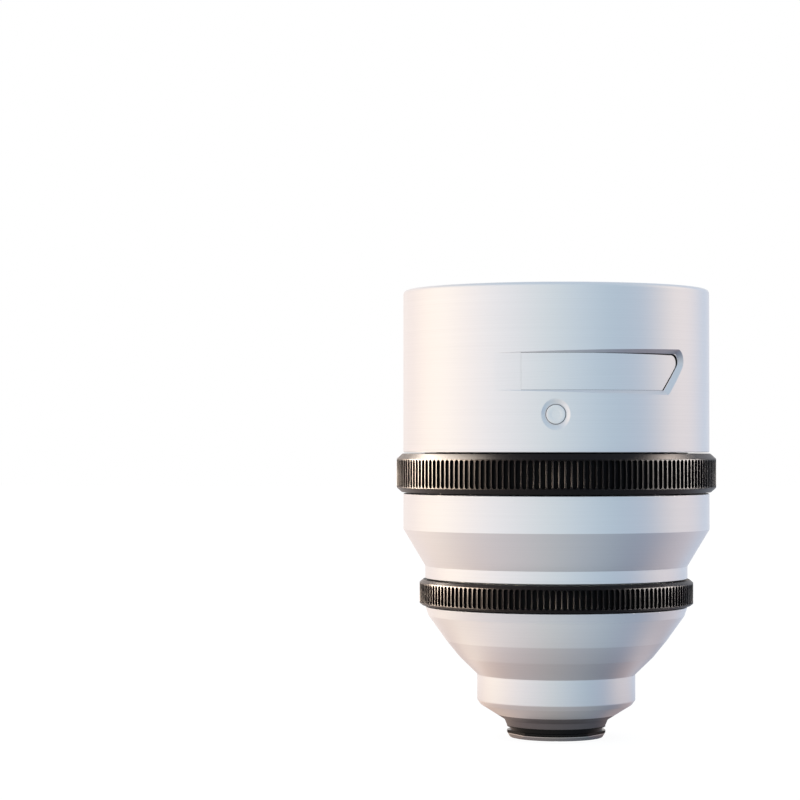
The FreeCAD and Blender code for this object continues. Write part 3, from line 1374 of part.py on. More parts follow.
document.recompute()
faults = [
    item.Name for item in document.Objects
    if "Invalid" in item.State or "Error" in item.State
]
for name, piece in parts.items():
    shape = piece.Shape
    if shape.isNull() or not shape.isValid() or not shape.Solids:
        faults.append(name)
if faults:
    raise ValueError("these pieces failed: " + ", ".join(faults))

os.makedirs("parts", exist_ok=True)
for name, piece in parts.items():
    piece.Label = name
    piece.Shape.exportStep(os.path.join("parts", name + ".step"))
print(len(parts), "pieces written")
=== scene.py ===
import json
import math

import bmesh
import bpy
from mathutils import Matrix, Vector


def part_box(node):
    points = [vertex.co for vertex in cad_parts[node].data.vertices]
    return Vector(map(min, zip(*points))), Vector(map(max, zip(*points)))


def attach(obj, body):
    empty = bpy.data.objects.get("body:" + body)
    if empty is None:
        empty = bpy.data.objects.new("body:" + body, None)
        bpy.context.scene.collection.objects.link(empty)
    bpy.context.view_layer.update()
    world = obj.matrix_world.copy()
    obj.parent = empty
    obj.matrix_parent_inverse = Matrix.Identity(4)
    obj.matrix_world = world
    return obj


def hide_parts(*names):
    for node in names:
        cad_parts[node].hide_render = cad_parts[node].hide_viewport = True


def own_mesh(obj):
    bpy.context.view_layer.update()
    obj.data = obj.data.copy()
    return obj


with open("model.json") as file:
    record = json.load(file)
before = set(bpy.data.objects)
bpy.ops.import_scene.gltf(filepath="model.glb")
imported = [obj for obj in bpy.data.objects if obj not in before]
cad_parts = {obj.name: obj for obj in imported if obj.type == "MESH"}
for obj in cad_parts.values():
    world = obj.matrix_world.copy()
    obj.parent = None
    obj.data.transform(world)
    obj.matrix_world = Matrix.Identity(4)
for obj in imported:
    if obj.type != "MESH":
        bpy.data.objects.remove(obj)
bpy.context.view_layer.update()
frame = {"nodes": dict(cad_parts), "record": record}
bpy.context.scene.view_settings.view_transform = "Standard"

# Front barrel. One aluminium tube, turned on a lathe, with a pearl-white satin coat over fine
# turning marks. Its rim is rounded, the inside behind the rim is black and takes a filter, and
# a mill has cut the long recess and the well of the push button into its side.
MM = 0.001
AROUND = 512
SMALL_AROUND = 96
SHARP_ANGLE = 12
barrel_low, barrel_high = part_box("front_barrel")
barrel_foot = barrel_low.z / MM
barrel_rim = barrel_high.z / MM
barrel_radius = barrel_high.x / MM


def softened(corners, steps=8, margin=0.12):
    """Points of a closed outline of (radius, height, rounding), its corners rounded by arcs.

    A point at the margin beside each arc, where the side is long enough, keeps it flat."""
    points = []
    count = len(corners)
    for index, (radius, height, rounding) in enumerate(corners):
        here = Vector((radius, height))
        before = Vector(corners[index - 1][:2]) - here
        after = Vector(corners[(index + 1) % count][:2]) - here
        if rounding == 0 or radius == 0:
            points.append(here)
            continue
        half = before.angle(after) / 2
        reach = rounding / math.tan(half)
        start = here + before.normalized() * reach
        end = here + after.normalized() * reach
        middle = (before.normalized() + after.normalized()).normalized()
        centre = here + middle * (rounding / math.sin(half))
        if before.length > 2 * (reach + margin):
            points.append(here + before.normalized() * (reach + margin))
        first = start - centre
        turn = first.angle_signed(end - centre)
        for step in range(steps + 1):
            points.append(centre + (Matrix.Rotation(-turn * step / steps, 2) @ first))
        if after.length > 2 * (reach + margin):
            points.append(here + after.normalized() * (reach + margin))
    return points


def added(name, data):
    """A new object of the scene around a mesh, a light or a camera."""
    item = bpy.data.objects.new(name, data)
    bpy.context.scene.collection.objects.link(item)
    return item


def as_piece(name, mesh, place=Matrix.Identity(4)):
    """A mesh built in memory, moved to its place and added to the scene as a piece."""
    bmesh.ops.recalc_face_normals(mesh, faces=mesh.faces)
    mesh.transform(place)
    data = bpy.data.meshes.new(name)
    mesh.to_mesh(data)
    mesh.free()
    return added(name, data)


def skinned(mesh, rows, closed=True):
    """Faces between each row of points and the next; closed rows run all the way round."""
    for near, far in zip(rows, rows[1:]):
        for index in range(len(near) if closed else len(near) - 1):
            following = (index + 1) % len(near)
            mesh.faces.new((near[index], near[following], far[following], far[index]))


def spun(name, points, around=AROUND, place=Matrix.Identity(4)):
    """A closed outline of (radius, height) points in millimetres, turned about its own axis."""
    mesh = bmesh.new()
    rings = []
    for radius, height in map(Vector, points):
        if radius < 1e-6:
            rings.append([mesh.verts.new((0, 0, height * MM))] * around)
            continue
        ring = []
        for step in range(around):
            angle = 2 * math.pi * step / around
            spot = (radius * MM * math.cos(angle), radius * MM * math.sin(angle), height * MM)
            ring.append(mesh.verts.new(spot))
        rings.append(ring)
    for index, ring in enumerate(rings):
        above = rings[(index + 1) % len(rings)]
        for step in range(around):
            following = (step + 1) % around
            corners = [ring[step], ring[following], above[following], above[step]]
            distinct = list(dict.fromkeys(corners))
            if len(distinct) > 2:
                mesh.faces.new(distinct)
    return as_piece(name, mesh, place)


def smoothed(piece, limit=SHARP_ANGLE):
    """Smooth shading, with the edges sharper than the limit kept crisp."""
    piece.data.shade_smooth()
    piece.data.set_sharp_from_angle(angle=math.radians(limit))
    return piece


def applied(piece):
    """The piece with its modifiers run and their result kept as a plain mesh."""
    bpy.context.view_layer.update()
    evaluated = piece.evaluated_get(bpy.context.evaluated_depsgraph_get())
    data = bpy.data.meshes.new_from_object(evaluated)
    piece.modifiers.clear()
    old = piece.data
    piece.data = data
    bpy.data.meshes.remove(old)
    data.name = piece.name
    return piece


def carved(piece, *tools, operation="DIFFERENCE"):
    """The piece with the tools cut out of it, or the part that they share; the tools go away."""
    for tool in tools:
        modifier = piece.modifiers.new("carve", "BOOLEAN")
        modifier.operation = operation
        modifier.object = tool
        modifier.solver = "EXACT"
    applied(piece)
    for tool in tools:
        bpy.data.objects.remove(tool)
    return piece


def facing(azimuth):
    """A frame whose x runs along the barrel's skin, y is up and z points out of the barrel."""
    angle = math.radians(azimuth)
    outward = Vector((math.sin(angle), -math.cos(angle), 0))
    along = Vector((math.cos(angle), math.sin(angle), 0))
    up = Vector((0, 0, 1))
    return Matrix((along, up, outward)).transposed().to_4x4()


def grown(points, amount):
    """An outline with every side moved outward by amount; it runs counterclockwise."""
    moved = []
    count = len(points)
    for index, here in enumerate(points):
        into = (here - points[index - 1]).normalized()
        out = (points[(index + 1) % count] - here).normalized()
        normals = Vector((into.y, -into.x)), Vector((out.y, -out.x))
        middle = (normals[0] + normals[1]).normalized()
        moved.append(here + middle * (amount / middle.dot(normals[0])))
    return moved


def block(name, levels, place):
    """A closed solid through stacked outlines; levels holds (outline, distance) pairs, in mm."""
    mesh = bmesh.new()
    rings = []
    for outline, distance in levels:
        corners = [(u * MM, v * MM, distance * MM) for u, v in map(Vector, outline)]
        rings.append([mesh.verts.new(corner) for corner in corners])
    skinned(mesh, rings)
    mesh.faces.new(rings[0])
    mesh.faces.new(rings[-1])
    return as_piece(name, mesh, place)


RECESS_FACES = 47.0
RECESS_DEEPEST = 68.7
RECESS_DEPTH = 0.9
RECESS_CORNER = 1.45
RECESS_LEFT = 40
RECESS_MARGIN = 0.15
END_LOW = 1.6
END_HIGH = 4.2
SHOULDER = 1.5
CUT = 3.0
INWARD = 20
floor_low = barrel_foot + 11.65
floor_high = barrel_foot + 18.6
aim = math.radians(RECESS_DEEPEST)
recess_axis = Matrix.Translation(Vector((
    -RECESS_DEPTH * MM * math.sin(aim),
    RECESS_DEPTH * MM * math.cos(aim),
    0,
)))
CORNERS_ONLY = 100


def slanted_end(shrink, top, left, shoulder=SHOULDER, run=CUT, rise=CUT):
    """The outline of the recess with its slanted right end; past the shoulder its top rises."""
    drop = floor_high - floor_low
    slant = END_LOW + END_HIGH
    corners = [
        (-left, floor_low - drop, 0),
        (-END_LOW - slant - shrink, floor_low - drop, 0),
        (END_HIGH - shrink, top, RECESS_CORNER),
        (-shoulder, top, 0),
        (-shoulder - run, top + rise, 0),
        (-left, top + rise, 0),
    ]
    return softened(corners, steps=14, margin=CORNERS_ONLY)


BARREL_BORE = 26.5
SEAT_BORE = 26.0
TUBE_BORE = 23.53
FILTER_BORE = 27.09
BUTTON_RISE = 7.12
BUTTON_BAND = 3.4
BAND_BELOW = 1.05
BAND_ABOVE = 1.15
RIM_ROUNDING = 0.8
FILTER_MOUTH = 0.6
button_level = barrel_foot + BUTTON_RISE
filter_floor = barrel_rim - 4.6
cell_seat = barrel_rim - 20.2
lip_top = barrel_foot + 2.2
THREAD_PITCH = 0.75
THREAD_DEPTH = 0.32
GROOVE_MIDDLE = THREAD_PITCH * 0.38
GROOVE_WIDTH = THREAD_PITCH * 0.76
thread_side = []
thread_level = filter_floor + 0.35
thread_end = barrel_rim - 0.9
while thread_level + THREAD_PITCH < thread_end:
    thread_side += [
        (FILTER_BORE, thread_level, 0),
        (FILTER_BORE + THREAD_DEPTH, thread_level + GROOVE_MIDDLE, 0),
        (FILTER_BORE, thread_level + GROOVE_WIDTH, 0),
    ]
    thread_level += THREAD_PITCH
front_barrel = spun("front_barrel_shell", softened([
    (TUBE_BORE, barrel_foot, 0),
    (barrel_radius, barrel_foot, 0.2),
    (barrel_radius, button_level - BUTTON_BAND, 0),
    (barrel_radius, button_level + BUTTON_BAND, 0),
    (barrel_radius, floor_low - BAND_BELOW, 0),
    (barrel_radius, floor_high + BAND_ABOVE, 0),
    (barrel_radius, barrel_rim, RIM_ROUNDING),
    (FILTER_BORE + FILTER_MOUTH, barrel_rim, 0.1),
    (FILTER_BORE, barrel_rim - FILTER_MOUTH, 0),
] + thread_side[::-1] + [
    (FILTER_BORE, filter_floor, 0),
    (BARREL_BORE, filter_floor, 0),
    (BARREL_BORE, cell_seat, 0),
    (SEAT_BORE, cell_seat, 0),
    (SEAT_BORE, lip_top, 0),
    (TUBE_BORE, lip_top, 0),
]))
recess_ring = spun("recess_ring", [
    (barrel_radius, floor_low),
    (barrel_radius + CUT, floor_low - CUT),
    (barrel_radius + CUT, floor_high + CUT),
    (barrel_radius, floor_high),
], place=recess_axis)
recess_floor = barrel_radius - RECESS_DEPTH
recess_outline = slanted_end(-RECESS_MARGIN, floor_high + RECESS_MARGIN, RECESS_LEFT)
recess_block = block("recess_block", [
    (recess_outline, recess_floor - INWARD),
    (recess_outline, recess_floor),
    (grown(recess_outline, CUT), recess_floor + CUT),
], facing(RECESS_FACES))
recess_cutter = carved(recess_ring, recess_block, operation="INTERSECT")
PLATE_THICKNESS = 0.5
PLATE_LEFT = 25.7
SEAT_MARGIN = 0.02


def curved_strip(name, back, face, low, high, outline):
    """The part between two radii round the recess's axis that a block with this outline leaves."""
    return carved(
        spun(name, [(back, low), (face, low), (face, high), (back, high)], place=recess_axis),
        block(f"{name}_block", [
            (outline, barrel_radius - INWARD), (outline, barrel_radius + 1),
        ], facing(RECESS_FACES)),
        operation="INTERSECT",
    )


plate_seat = curved_strip(
    "plate_seat", barrel_radius - PLATE_THICKNESS - SEAT_MARGIN, barrel_radius + 2 * SEAT_MARGIN,
    floor_low, floor_high, slanted_end(0, floor_high, PLATE_LEFT + SEAT_MARGIN),
)
WELL_RADIUS = 1.88
WELL_FLOOR = 27.0
STEM_HOLE = 1.02
WELL_DISH = (
    (0, -0.60), (0.10, -0.52), (0.35, -0.40), (0.65, -0.22), (0.95, -0.05), (1.15, 0.03),
    (2.5, 0.8),
)
button_axis = Matrix.Translation(Vector((0, 0, button_level * MM))) @ Matrix.Rotation(
    math.radians(90), 4, "X"
)
button_well = spun("button_well", [
    (0, SEAT_BORE - 1),
    (STEM_HOLE, SEAT_BORE - 1),
    (STEM_HOLE, WELL_FLOOR),
    (WELL_RADIUS, WELL_FLOOR),
    *[(WELL_RADIUS + spread, barrel_radius + rise) for spread, rise in WELL_DISH],
    (0, barrel_radius + WELL_DISH[-1][1]),
], around=SMALL_AROUND, place=button_axis)
carved(front_barrel, recess_cutter, plate_seat, button_well)
smoothed(front_barrel)


def filled(tree, item, inputs):
    """Set the inputs of a node, each to a value or joined to another node's socket."""
    for name, value in inputs.items():
        if isinstance(value, bpy.types.NodeSocket):
            tree.links.new(value, item.inputs[name])
        else:
            item.inputs[name].default_value = value


def node(tree, kind, inputs=None, **settings):
    """A new node with its settings; its inputs are given as values or as sockets to join."""
    item = tree.nodes.new(kind)
    for name, value in settings.items():
        setattr(item, name, value)
    filled(tree, item, inputs or {})
    return item


def group(name, kind, inputs, outputs):
    """A new node group with its sockets, and its input and output nodes."""
    tree = bpy.data.node_groups.new(name, kind)
    for way, sockets in (("INPUT", inputs), ("OUTPUT", outputs)):
        for label, socket in sockets.items():
            tree.interface.new_socket(label, in_out=way, socket_type="NodeSocket" + socket)
    return tree, node(tree, "NodeGroupInput"), node(tree, "NodeGroupOutput")


def arithmetic(tree, operation, *values):
    """The result of a calculation with one or two numbers."""
    return node(tree, "ShaderNodeMath", dict(enumerate(values)), operation=operation).outputs[0]


def ranged(tree, value, start, end, low=0, high=1, **settings):
    """A value brought from the range between start and end to that between low and high."""
    return node(tree, "ShaderNodeMapRange", {
        "Value": value, "From Min": start, "From Max": end, "To Min": low, "To Max": high,
    }, **settings).outputs["Result"]


def mixed(tree, share, first, second, **settings):
    """Two colours mixed; the share is that of the second."""
    return node(tree, "ShaderNodeMix", {
        "Factor": share, "A": first, "B": second,
    }, data_type="RGBA", **settings).outputs["Result"]


def turning_marks():
    """Shader group: the fine rings that a lathe tool leaves, as a grey value and a height."""
    tree, given, result = group(
        "turning_marks", "ShaderNodeTree",
        {"Marks per mm": "Float"}, {"Tone": "Float", "Height": "Float"},
    )
    place = node(tree, "ShaderNodeTexCoord")
    split = node(tree, "ShaderNodeSeparateXYZ", {0: place.outputs["Object"]})
    flat = node(tree, "ShaderNodeCombineXYZ", {"X": split.outputs["X"], "Y": split.outputs["Y"]})
    radius = node(tree, "ShaderNodeVectorMath", {0: flat.outputs[0]}, operation="LENGTH")
    travel = arithmetic(tree, "ADD", split.outputs["Z"], radius.outputs["Value"])
    per_metre = arithmetic(tree, "MULTIPLY", given.outputs["Marks per mm"], 1 / MM)
    drift = node(
        tree, "ShaderNodeVectorMath", {0: flat.outputs[0], "Scale": 24.0}, operation="SCALE",
    )
    spot = node(tree, "ShaderNodeSeparateXYZ", {0: drift.outputs[0]})
    lookup = node(tree, "ShaderNodeCombineXYZ", {
        "X": spot.outputs["X"],
        "Y": spot.outputs["Y"],
        "Z": arithmetic(tree, "MULTIPLY", travel, per_metre),
    })
    marks = node(tree, "ShaderNodeTexNoise", {
        "Vector": lookup.outputs[0], "Scale": 1.0, "Detail": 3.0, "Roughness": 0.6,
    })
    filled(tree, result, {
        "Tone": ranged(tree, marks.outputs["Fac"], 0.3, 0.7), "Height": marks.outputs["Fac"],
    })
    return tree


TURNING_MARKS = turning_marks()


def plain_material(name):
    """A new material with its node tree and its principled shader."""
    material = bpy.data.materials.new(name)
    material.use_nodes = True
    return material, material.node_tree, material.node_tree.nodes["Principled BSDF"]


def turned_finish(name, colours, per_mm, roughness, height, metallic, coat=0.0, specular=0.5):
    """A turned and coated metal: colours and roughness are (in the marks, between them)."""
    material, tree, shader = plain_material(name)
    marks = node(tree, "ShaderNodeGroup", {"Marks per mm": per_mm}, node_tree=TURNING_MARKS)
    bump = node(tree, "ShaderNodeBump", {
        "Height": marks.outputs["Height"], "Strength": 0.35, "Distance": height * MM,
    })
    filled(tree, shader, {
        "Base Color": mixed(tree, marks.outputs["Tone"], (*colours[0], 1), (*colours[1], 1)),
        "Roughness": ranged(tree, marks.outputs["Tone"], 0, 1, *roughness),
        "Normal": bump.outputs["Normal"],
        "Metallic": metallic,
        "Coat Weight": coat,
        "Coat Roughness": 0.25,
        "Specular IOR Level": specular,
    })
    return material


pearl_white = turned_finish(
    "pearl_white_satin", ((0.825, 0.82, 0.825), (0.855, 0.85, 0.855)),
    per_mm=9.0, roughness=(0.34, 0.31), height=0.0012, metallic=0.78, coat=0.25,
)


def machined_bevel_painted_shade():
    """The bevel that the mill leaves, in grey metal with painted shade: greyer where it faces down
    and towards its deep end.
    """
    material = turned_finish(
        "machined_bevel_painted_shade", ((0.42, 0.395, 0.42), (0.47, 0.445, 0.47)),
        per_mm=9.0, roughness=(0.36, 0.31), height=0.0012, metallic=0.8,
    )
    tree = material.node_tree
    shader = tree.nodes["Principled BSDF"]
    grey = shader.inputs["Base Color"].links[0].from_socket
    place = node(tree, "ShaderNodeTexCoord")
    lean = node(tree, "ShaderNodeSeparateXYZ", {0: place.outputs["Normal"]})
    spot = node(tree, "ShaderNodeSeparateXYZ", {0: place.outputs["Object"]})
    # Painted shade: the grey lifts to near white where the bevel faces up or nears its shallow end.
    upward = ranged(tree, lean.outputs["Z"], -0.5, 0.55)
    shallow = ranged(tree, spot.outputs["X"], 17 * MM, -6 * MM)
    pale = arithmetic(tree, "MAXIMUM", upward, shallow)
    filled(tree, shader, {"Base Color": mixed(tree, pale, grey, (0.84, 0.835, 0.85, 1))})
    return material


cut_bevel_painted_shade = machined_bevel_painted_shade()
black_inside = turned_finish(
    "black_inside", ((0.012, 0.012, 0.013), (0.02, 0.02, 0.021)),
    per_mm=4.0, roughness=(0.62, 0.5), height=0.01, metallic=0.2,
)


def painted(piece, material, *others, where=None):
    """Give the piece its finish; where(centre, normal) picks one of the others for a face."""
    piece.data.materials.clear()
    for item in (material, *others):
        piece.data.materials.append(item)
    if where is not None:
        for face in piece.data.polygons:
            face.material_index = where(face.center / MM, face.normal)


BLACK_EDGE = 0.45
RECESS_SIDE = 10
BEVEL_REACH = 1.5


def barrel_finish(centre, normal):
    """White outside, black inside, black under the name plate as painted shade in the gaps round
    it, and a cut bevel with painted shade round the recess.
    """
    radius = math.hypot(centre.x, centre.y)
    if radius < FILTER_BORE + BLACK_EDGE:
        return 1
    middle = math.radians(RECESS_FACES)
    near_recess = centre.x * math.sin(middle) - centre.y * math.cos(middle) > RECESS_SIDE
    if not near_recess or not floor_low - BEVEL_REACH < centre.z < floor_high + BEVEL_REACH:
        return 0
    sideways = centre.x + RECESS_DEPTH * math.sin(aim)
    off_axis = math.hypot(sideways, centre.y - RECESS_DEPTH * math.cos(aim))
    # The seat under the name plate is painted black: painted shade for the gaps round the plate.
    if floor_low < centre.z < floor_high and off_axis < barrel_radius - 0.02:
        return 1
    return 2 if radius < barrel_radius - 0.03 and off_axis > barrel_radius + 0.01 else 0


painted(front_barrel, pearl_white, black_inside, cut_bevel_painted_shade, where=barrel_finish)
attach(front_barrel, "barrel")
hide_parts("front_barrel")

# Name plate. A thin curved strip of the same white metal lies in the floor of the recess, with
# a hairline gap at its slanted end. It is left bare.
BOTTOM_GAP = 0.04
TOP_GAP = 0.05
CORNER_GAP = 0.26
END_GAP = 0.5
SLOPE_RUN = 17
SLOPE_RISE = 0.22
name_plate = curved_strip(
    "name_plate_strip", barrel_radius - PLATE_THICKNESS, barrel_radius,
    floor_low + BOTTOM_GAP, floor_high - TOP_GAP,
    slanted_end(END_GAP, floor_high - CORNER_GAP, PLATE_LEFT, 0, SLOPE_RUN, SLOPE_RISE),
)
smoothed(name_plate)
painted(name_plate, pearl_white)
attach(name_plate, "barrel")
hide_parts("name_plate")

# Push button. A small turned plunger with a shallow dish in its face; it slides in its well
# against a coil spring, held from inside by a clip.
BUTTON_RADIUS = 1.8
STEM_RADIUS = 0.9
CLIP_GROOVE_RADIUS = 0.7
CLIP_GROOVE_START = 25.43
CLIP_GROOVE_END = 25.87
HEAD_BACK = 28.25
BUTTON_DISH = ((1.2, 0, 0.3), (0.8, 0.05, 0.4), (0, 0.06, 0))
button_face = barrel_radius - 0.25
push_button = spun("push_button", softened([
    (0, SEAT_BORE - 1, 0),
    (STEM_RADIUS, SEAT_BORE - 1, 0.1),
    (STEM_RADIUS, CLIP_GROOVE_START, 0),
    (CLIP_GROOVE_RADIUS, CLIP_GROOVE_START, 0),
    (CLIP_GROOVE_RADIUS, CLIP_GROOVE_END, 0),
    (STEM_RADIUS, CLIP_GROOVE_END, 0),
    (STEM_RADIUS, HEAD_BACK, 0),
    (BUTTON_RADIUS, HEAD_BACK, 0.1),
    (BUTTON_RADIUS, button_face, 0.2),
    *[(radius, button_face - depth, rounding) for radius, depth, rounding in BUTTON_DISH],
]), around=SMALL_AROUND, place=button_axis)
smoothed(push_button)
painted(push_button, pearl_white)
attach(push_button, "button_set")
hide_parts("button_plunger")

# Return spring. A coil of thin steel wire round the button's stem, between the floor of the well
# and the back of the button's head; it is squeezed when the button goes in.
WIRE_RADIUS = 0.08
SPRING_TURNS = 3
TURN_STEPS = 32
WIRE_SIDES = 10
SPRING_SHARP_ANGLE = 50
spring_low, spring_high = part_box("button_spring")
coil_radius = spring_high.x / MM - WIRE_RADIUS
coil_foot = -spring_high.y / MM + WIRE_RADIUS
coil_head = -spring_low.y / MM - WIRE_RADIUS
spring_mesh = bmesh.new()
wire_rings = []
spring_steps = SPRING_TURNS * TURN_STEPS
for step in range(spring_steps + 1):
    turn = 2 * math.pi * step / TURN_STEPS
    outward = Vector((math.cos(turn), 0, math.sin(turn)))
    reach = coil_foot + (coil_head - coil_foot) * step / spring_steps
    centre = Vector((0, -reach, button_level)) + outward * coil_radius
    ring = []
    for side in range(WIRE_SIDES):
        angle = 2 * math.pi * side / WIRE_SIDES
        aside = outward * math.cos(angle) + Vector((0, math.sin(angle), 0))
        ring.append(spring_mesh.verts.new((centre + aside * WIRE_RADIUS) * MM))
    wire_rings.append(ring)
skinned(spring_mesh, wire_rings)
spring_mesh.faces.new(wire_rings[0])
spring_mesh.faces.new(wire_rings[-1])
return_spring = smoothed(as_piece("return_spring", spring_mesh), SPRING_SHARP_ANGLE)
plain_steel = turned_finish(
    "plain_turned_steel", ((0.40, 0.40, 0.41), (0.5, 0.5, 0.51)),
    per_mm=9.0, roughness=(0.34, 0.25), height=0.003, metallic=1.0,
)
painted(return_spring, plain_steel)
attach(return_spring, "barrel")
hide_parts("button_spring")
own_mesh(return_spring)

# Middle barrel. A turned aluminium cylinder with a conical shoulder and a narrow neck, in the
# same white coat. It is pressed over the main tube between the two black rings.
middle_low, middle_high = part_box("middle_barrel")
middle_foot = middle_low.z / MM
middle_head = middle_high.z / MM
NECK_RADIUS = 25.7
MIDDLE_BORE = 26.1
CONE_MARGIN = 0.02
shoulder_low = middle_foot + 2.4
shoulder_high = middle_foot + 9.6
middle_seat = middle_foot + 8.7
middle_barrel = spun("middle_barrel_shell", softened([
    (TUBE_BORE, middle_foot, 0),
    (NECK_RADIUS, middle_foot, 0.12),
    (NECK_RADIUS, shoulder_low, 0.12),
    (barrel_radius, shoulder_high, 0.12),
    (barrel_radius, middle_head, 0.2),
    (MIDDLE_BORE, middle_head, 0),
    (MIDDLE_BORE, middle_seat, 0),
    (TUBE_BORE, middle_seat, 0),
]))
smoothed(middle_barrel)
# A darker copy of the pearl white for cones that face down: painted shade.
shaded_white = turned_finish(
    "pearl_white_painted_shade", ((0.735, 0.72, 0.73), (0.765, 0.75, 0.76)),
    per_mm=9.0, roughness=(0.34, 0.31), height=0.0012, metallic=0.78, coat=0.25,
)


def shoulder_painted_shade(centre, normal):
    """The conical shoulder, which faces down, gets the darker copy of the white as painted shade.
    """
    on_cone = shoulder_low + CONE_MARGIN < centre.z < shoulder_high - CONE_MARGIN
    return 1 if on_cone and normal.z < -0.2 else 0


painted(middle_barrel, pearl_white, shaded_white, where=shoulder_painted_shade)
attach(middle_barrel, "barrel")
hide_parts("middle_barrel")

# Focus ring. A large ring of black anodised aluminium with bevelled edges; a cutter has milled
# the upright flutes of its grip, so a narrow land stands between each two.
LAND_EDGE = 0.2
EDGE_SLOPE = 0.9
BED_INSET = 0.05
ARC_STEPS = 6
COLUMNS = 7
END_RECESS = 0.3
END_ROUNDING = 0.08
GRIP_SHARP_ANGLE = 32


def grip_sector(name, profile, count, flute_low, flute_high, half_width, depth):
    """One pitch of a fluted ring; profile is (bore, outer, foot, head, low and high chamfer)."""
    bore, outer, foot, head, low_cut, high_cut = profile
    pitch = 2 * math.pi * outer / count
    land = pitch / 2 - half_width
    edge = land * LAND_EDGE
    mesh = bmesh.new()

    def spot(across, radius, height):
        angle = across / outer
        reach = radius * MM
        return mesh.verts.new((reach * math.cos(angle), reach * math.sin(angle), height * MM))

    def stadium(grow, radius):
        """The flute's outline, counterclockwise from the right end of its foot."""
        ring = []
        reach = half_width + grow
        for centre, start in ((flute_low, -math.pi), (flute_high, 0)):
            for step in range(ARC_STEPS + 1):
                angle = start + math.pi * step / ARC_STEPS
                level = centre + reach * math.sin(angle)
                ring.append(spot(reach * math.cos(angle), radius, level))
        return ring

    rim = stadium(edge, outer)
    lip = stadium(0, outer - edge * EDGE_SLOPE)
    bed = stadium(-BED_INSET, outer - depth)
    skinned(mesh, (rim, lip, bed))
    half = len(bed) // 2
    foot_arc, head_arc = bed[:half], bed[half:]
    for index in range(half - 1):
        foot_pair = foot_arc[index], foot_arc[index + 1]
        mesh.faces.new((*foot_pair, head_arc[-2 - index], head_arc[-1 - index]))
    side = pitch / 2
    across = [-side + 2 * side * step / (COLUMNS - 1) for step in range(COLUMNS)]
    low_row = [spot(u, outer, foot + low_cut + 0.04) for u in across]
    high_row = [spot(u, outer, head - high_cut - 0.04) for u in across]
    top = rim[half:]
    for index in range(COLUMNS - 1):
        mesh.faces.new((low_row[index], low_row[index + 1], rim[index + 1], rim[index]))
        mesh.faces.new((high_row[index + 1], high_row[index], top[-1 - index], top[-2 - index]))
    mesh.faces.new((low_row[0], rim[0], rim[-1], high_row[0]))
    mesh.faces.new((low_row[-1], high_row[-1], rim[half], rim[half - 1]))
    rounded = softened([
        (outer, head - high_cut, END_ROUNDING),
        (outer - high_cut, head - 0.1, END_ROUNDING),
        (outer - high_cut - 0.2, head - END_RECESS, 0),
        (bore, head - END_RECESS, 0),
        (bore, foot + END_RECESS, 0),
        (outer - low_cut - 0.2, foot + END_RECESS, 0),
        (outer - low_cut, foot + 0.1, END_ROUNDING),
        (outer, foot + low_cut, END_ROUNDING),
    ], steps=2, margin=0.05)
    middle = (foot + head) / 2
    start = next(
        index for index, point in enumerate(rounded)
        if abs(point.x - outer) < 1e-6 and point.y > middle
    )
    outline = rounded[start:] + rounded[:start]
    rows = [[spot(u, point.x, point.y) for u in across] for point in outline[1:-1]]
    skinned(mesh, [high_row, *rows, low_row], closed=False)
    return as_piece(name, mesh)


def repeated_round_the_axis():
    """Geometry nodes: copies of one pitch set round the lens axis and welded to a ring."""
    tree, given, result = group("grip_flutes", "GeometryNodeTree", {
        "Pitch": "Geometry", "Flutes": "Int", "Weld distance": "Float", "Finish": "Material",
    }, {"Ring": "Geometry"})
    places = node(tree, "GeometryNodePoints", {"Count": given.outputs["Flutes"]})
    index = node(tree, "GeometryNodeInputIndex")
    share = arithmetic(tree, "DIVIDE", index.outputs[0], given.outputs["Flutes"])
    angle = arithmetic(tree, "MULTIPLY", share, 2 * math.pi)
    turn = node(tree, "ShaderNodeCombineXYZ", {"Z": angle})
    copies = node(tree, "GeometryNodeInstanceOnPoints", {
        "Points": places.outputs[0],
        "Instance": given.outputs["Pitch"],
        "Rotation": turn.outputs[0],
    })
    solid = node(tree, "GeometryNodeRealizeInstances", {0: copies.outputs[0]})
    weld = node(tree, "GeometryNodeMergeByDistance", {
        "Geometry": solid.outputs[0], "Distance": given.outputs["Weld distance"],
    })
    finish = node(tree, "GeometryNodeSetMaterial", {
        "Geometry": weld.outputs[0], "Material": given.outputs["Finish"],
    })
    filled(tree, result, {"Ring": finish.outputs[0]})
    return tree


GRIP_FLUTES = repeated_round_the_axis()


def made_plain(piece, tree, values):
    """Run a geometry tree with these inputs on the piece and keep its result as a plain mesh."""
    modifier = piece.modifiers.new(tree.name, "NODES")
    modifier.node_group = tree
    for item in tree.interface.items_tree:
        if item.item_type == "SOCKET" and item.name in values:
            modifier[item.identifier] = values[item.name]
    return applied(piece)


black_grip = turned_finish(
    "black_anodised_grip", ((0.0012, 0.001, 0.0014), (0.002, 0.0018, 0.0024)),
    per_mm=7.0, roughness=(0.36, 0.3), height=0.0001, metallic=0.0, specular=0.1,
)
black_flute = turned_finish(
    "matte_milled_flute", ((0.002, 0.002, 0.0025), (0.003, 0.003, 0.0035)),
    per_mm=7.0, roughness=(0.6, 0.5), height=0.0003, metallic=0.0, specular=0.04,
)


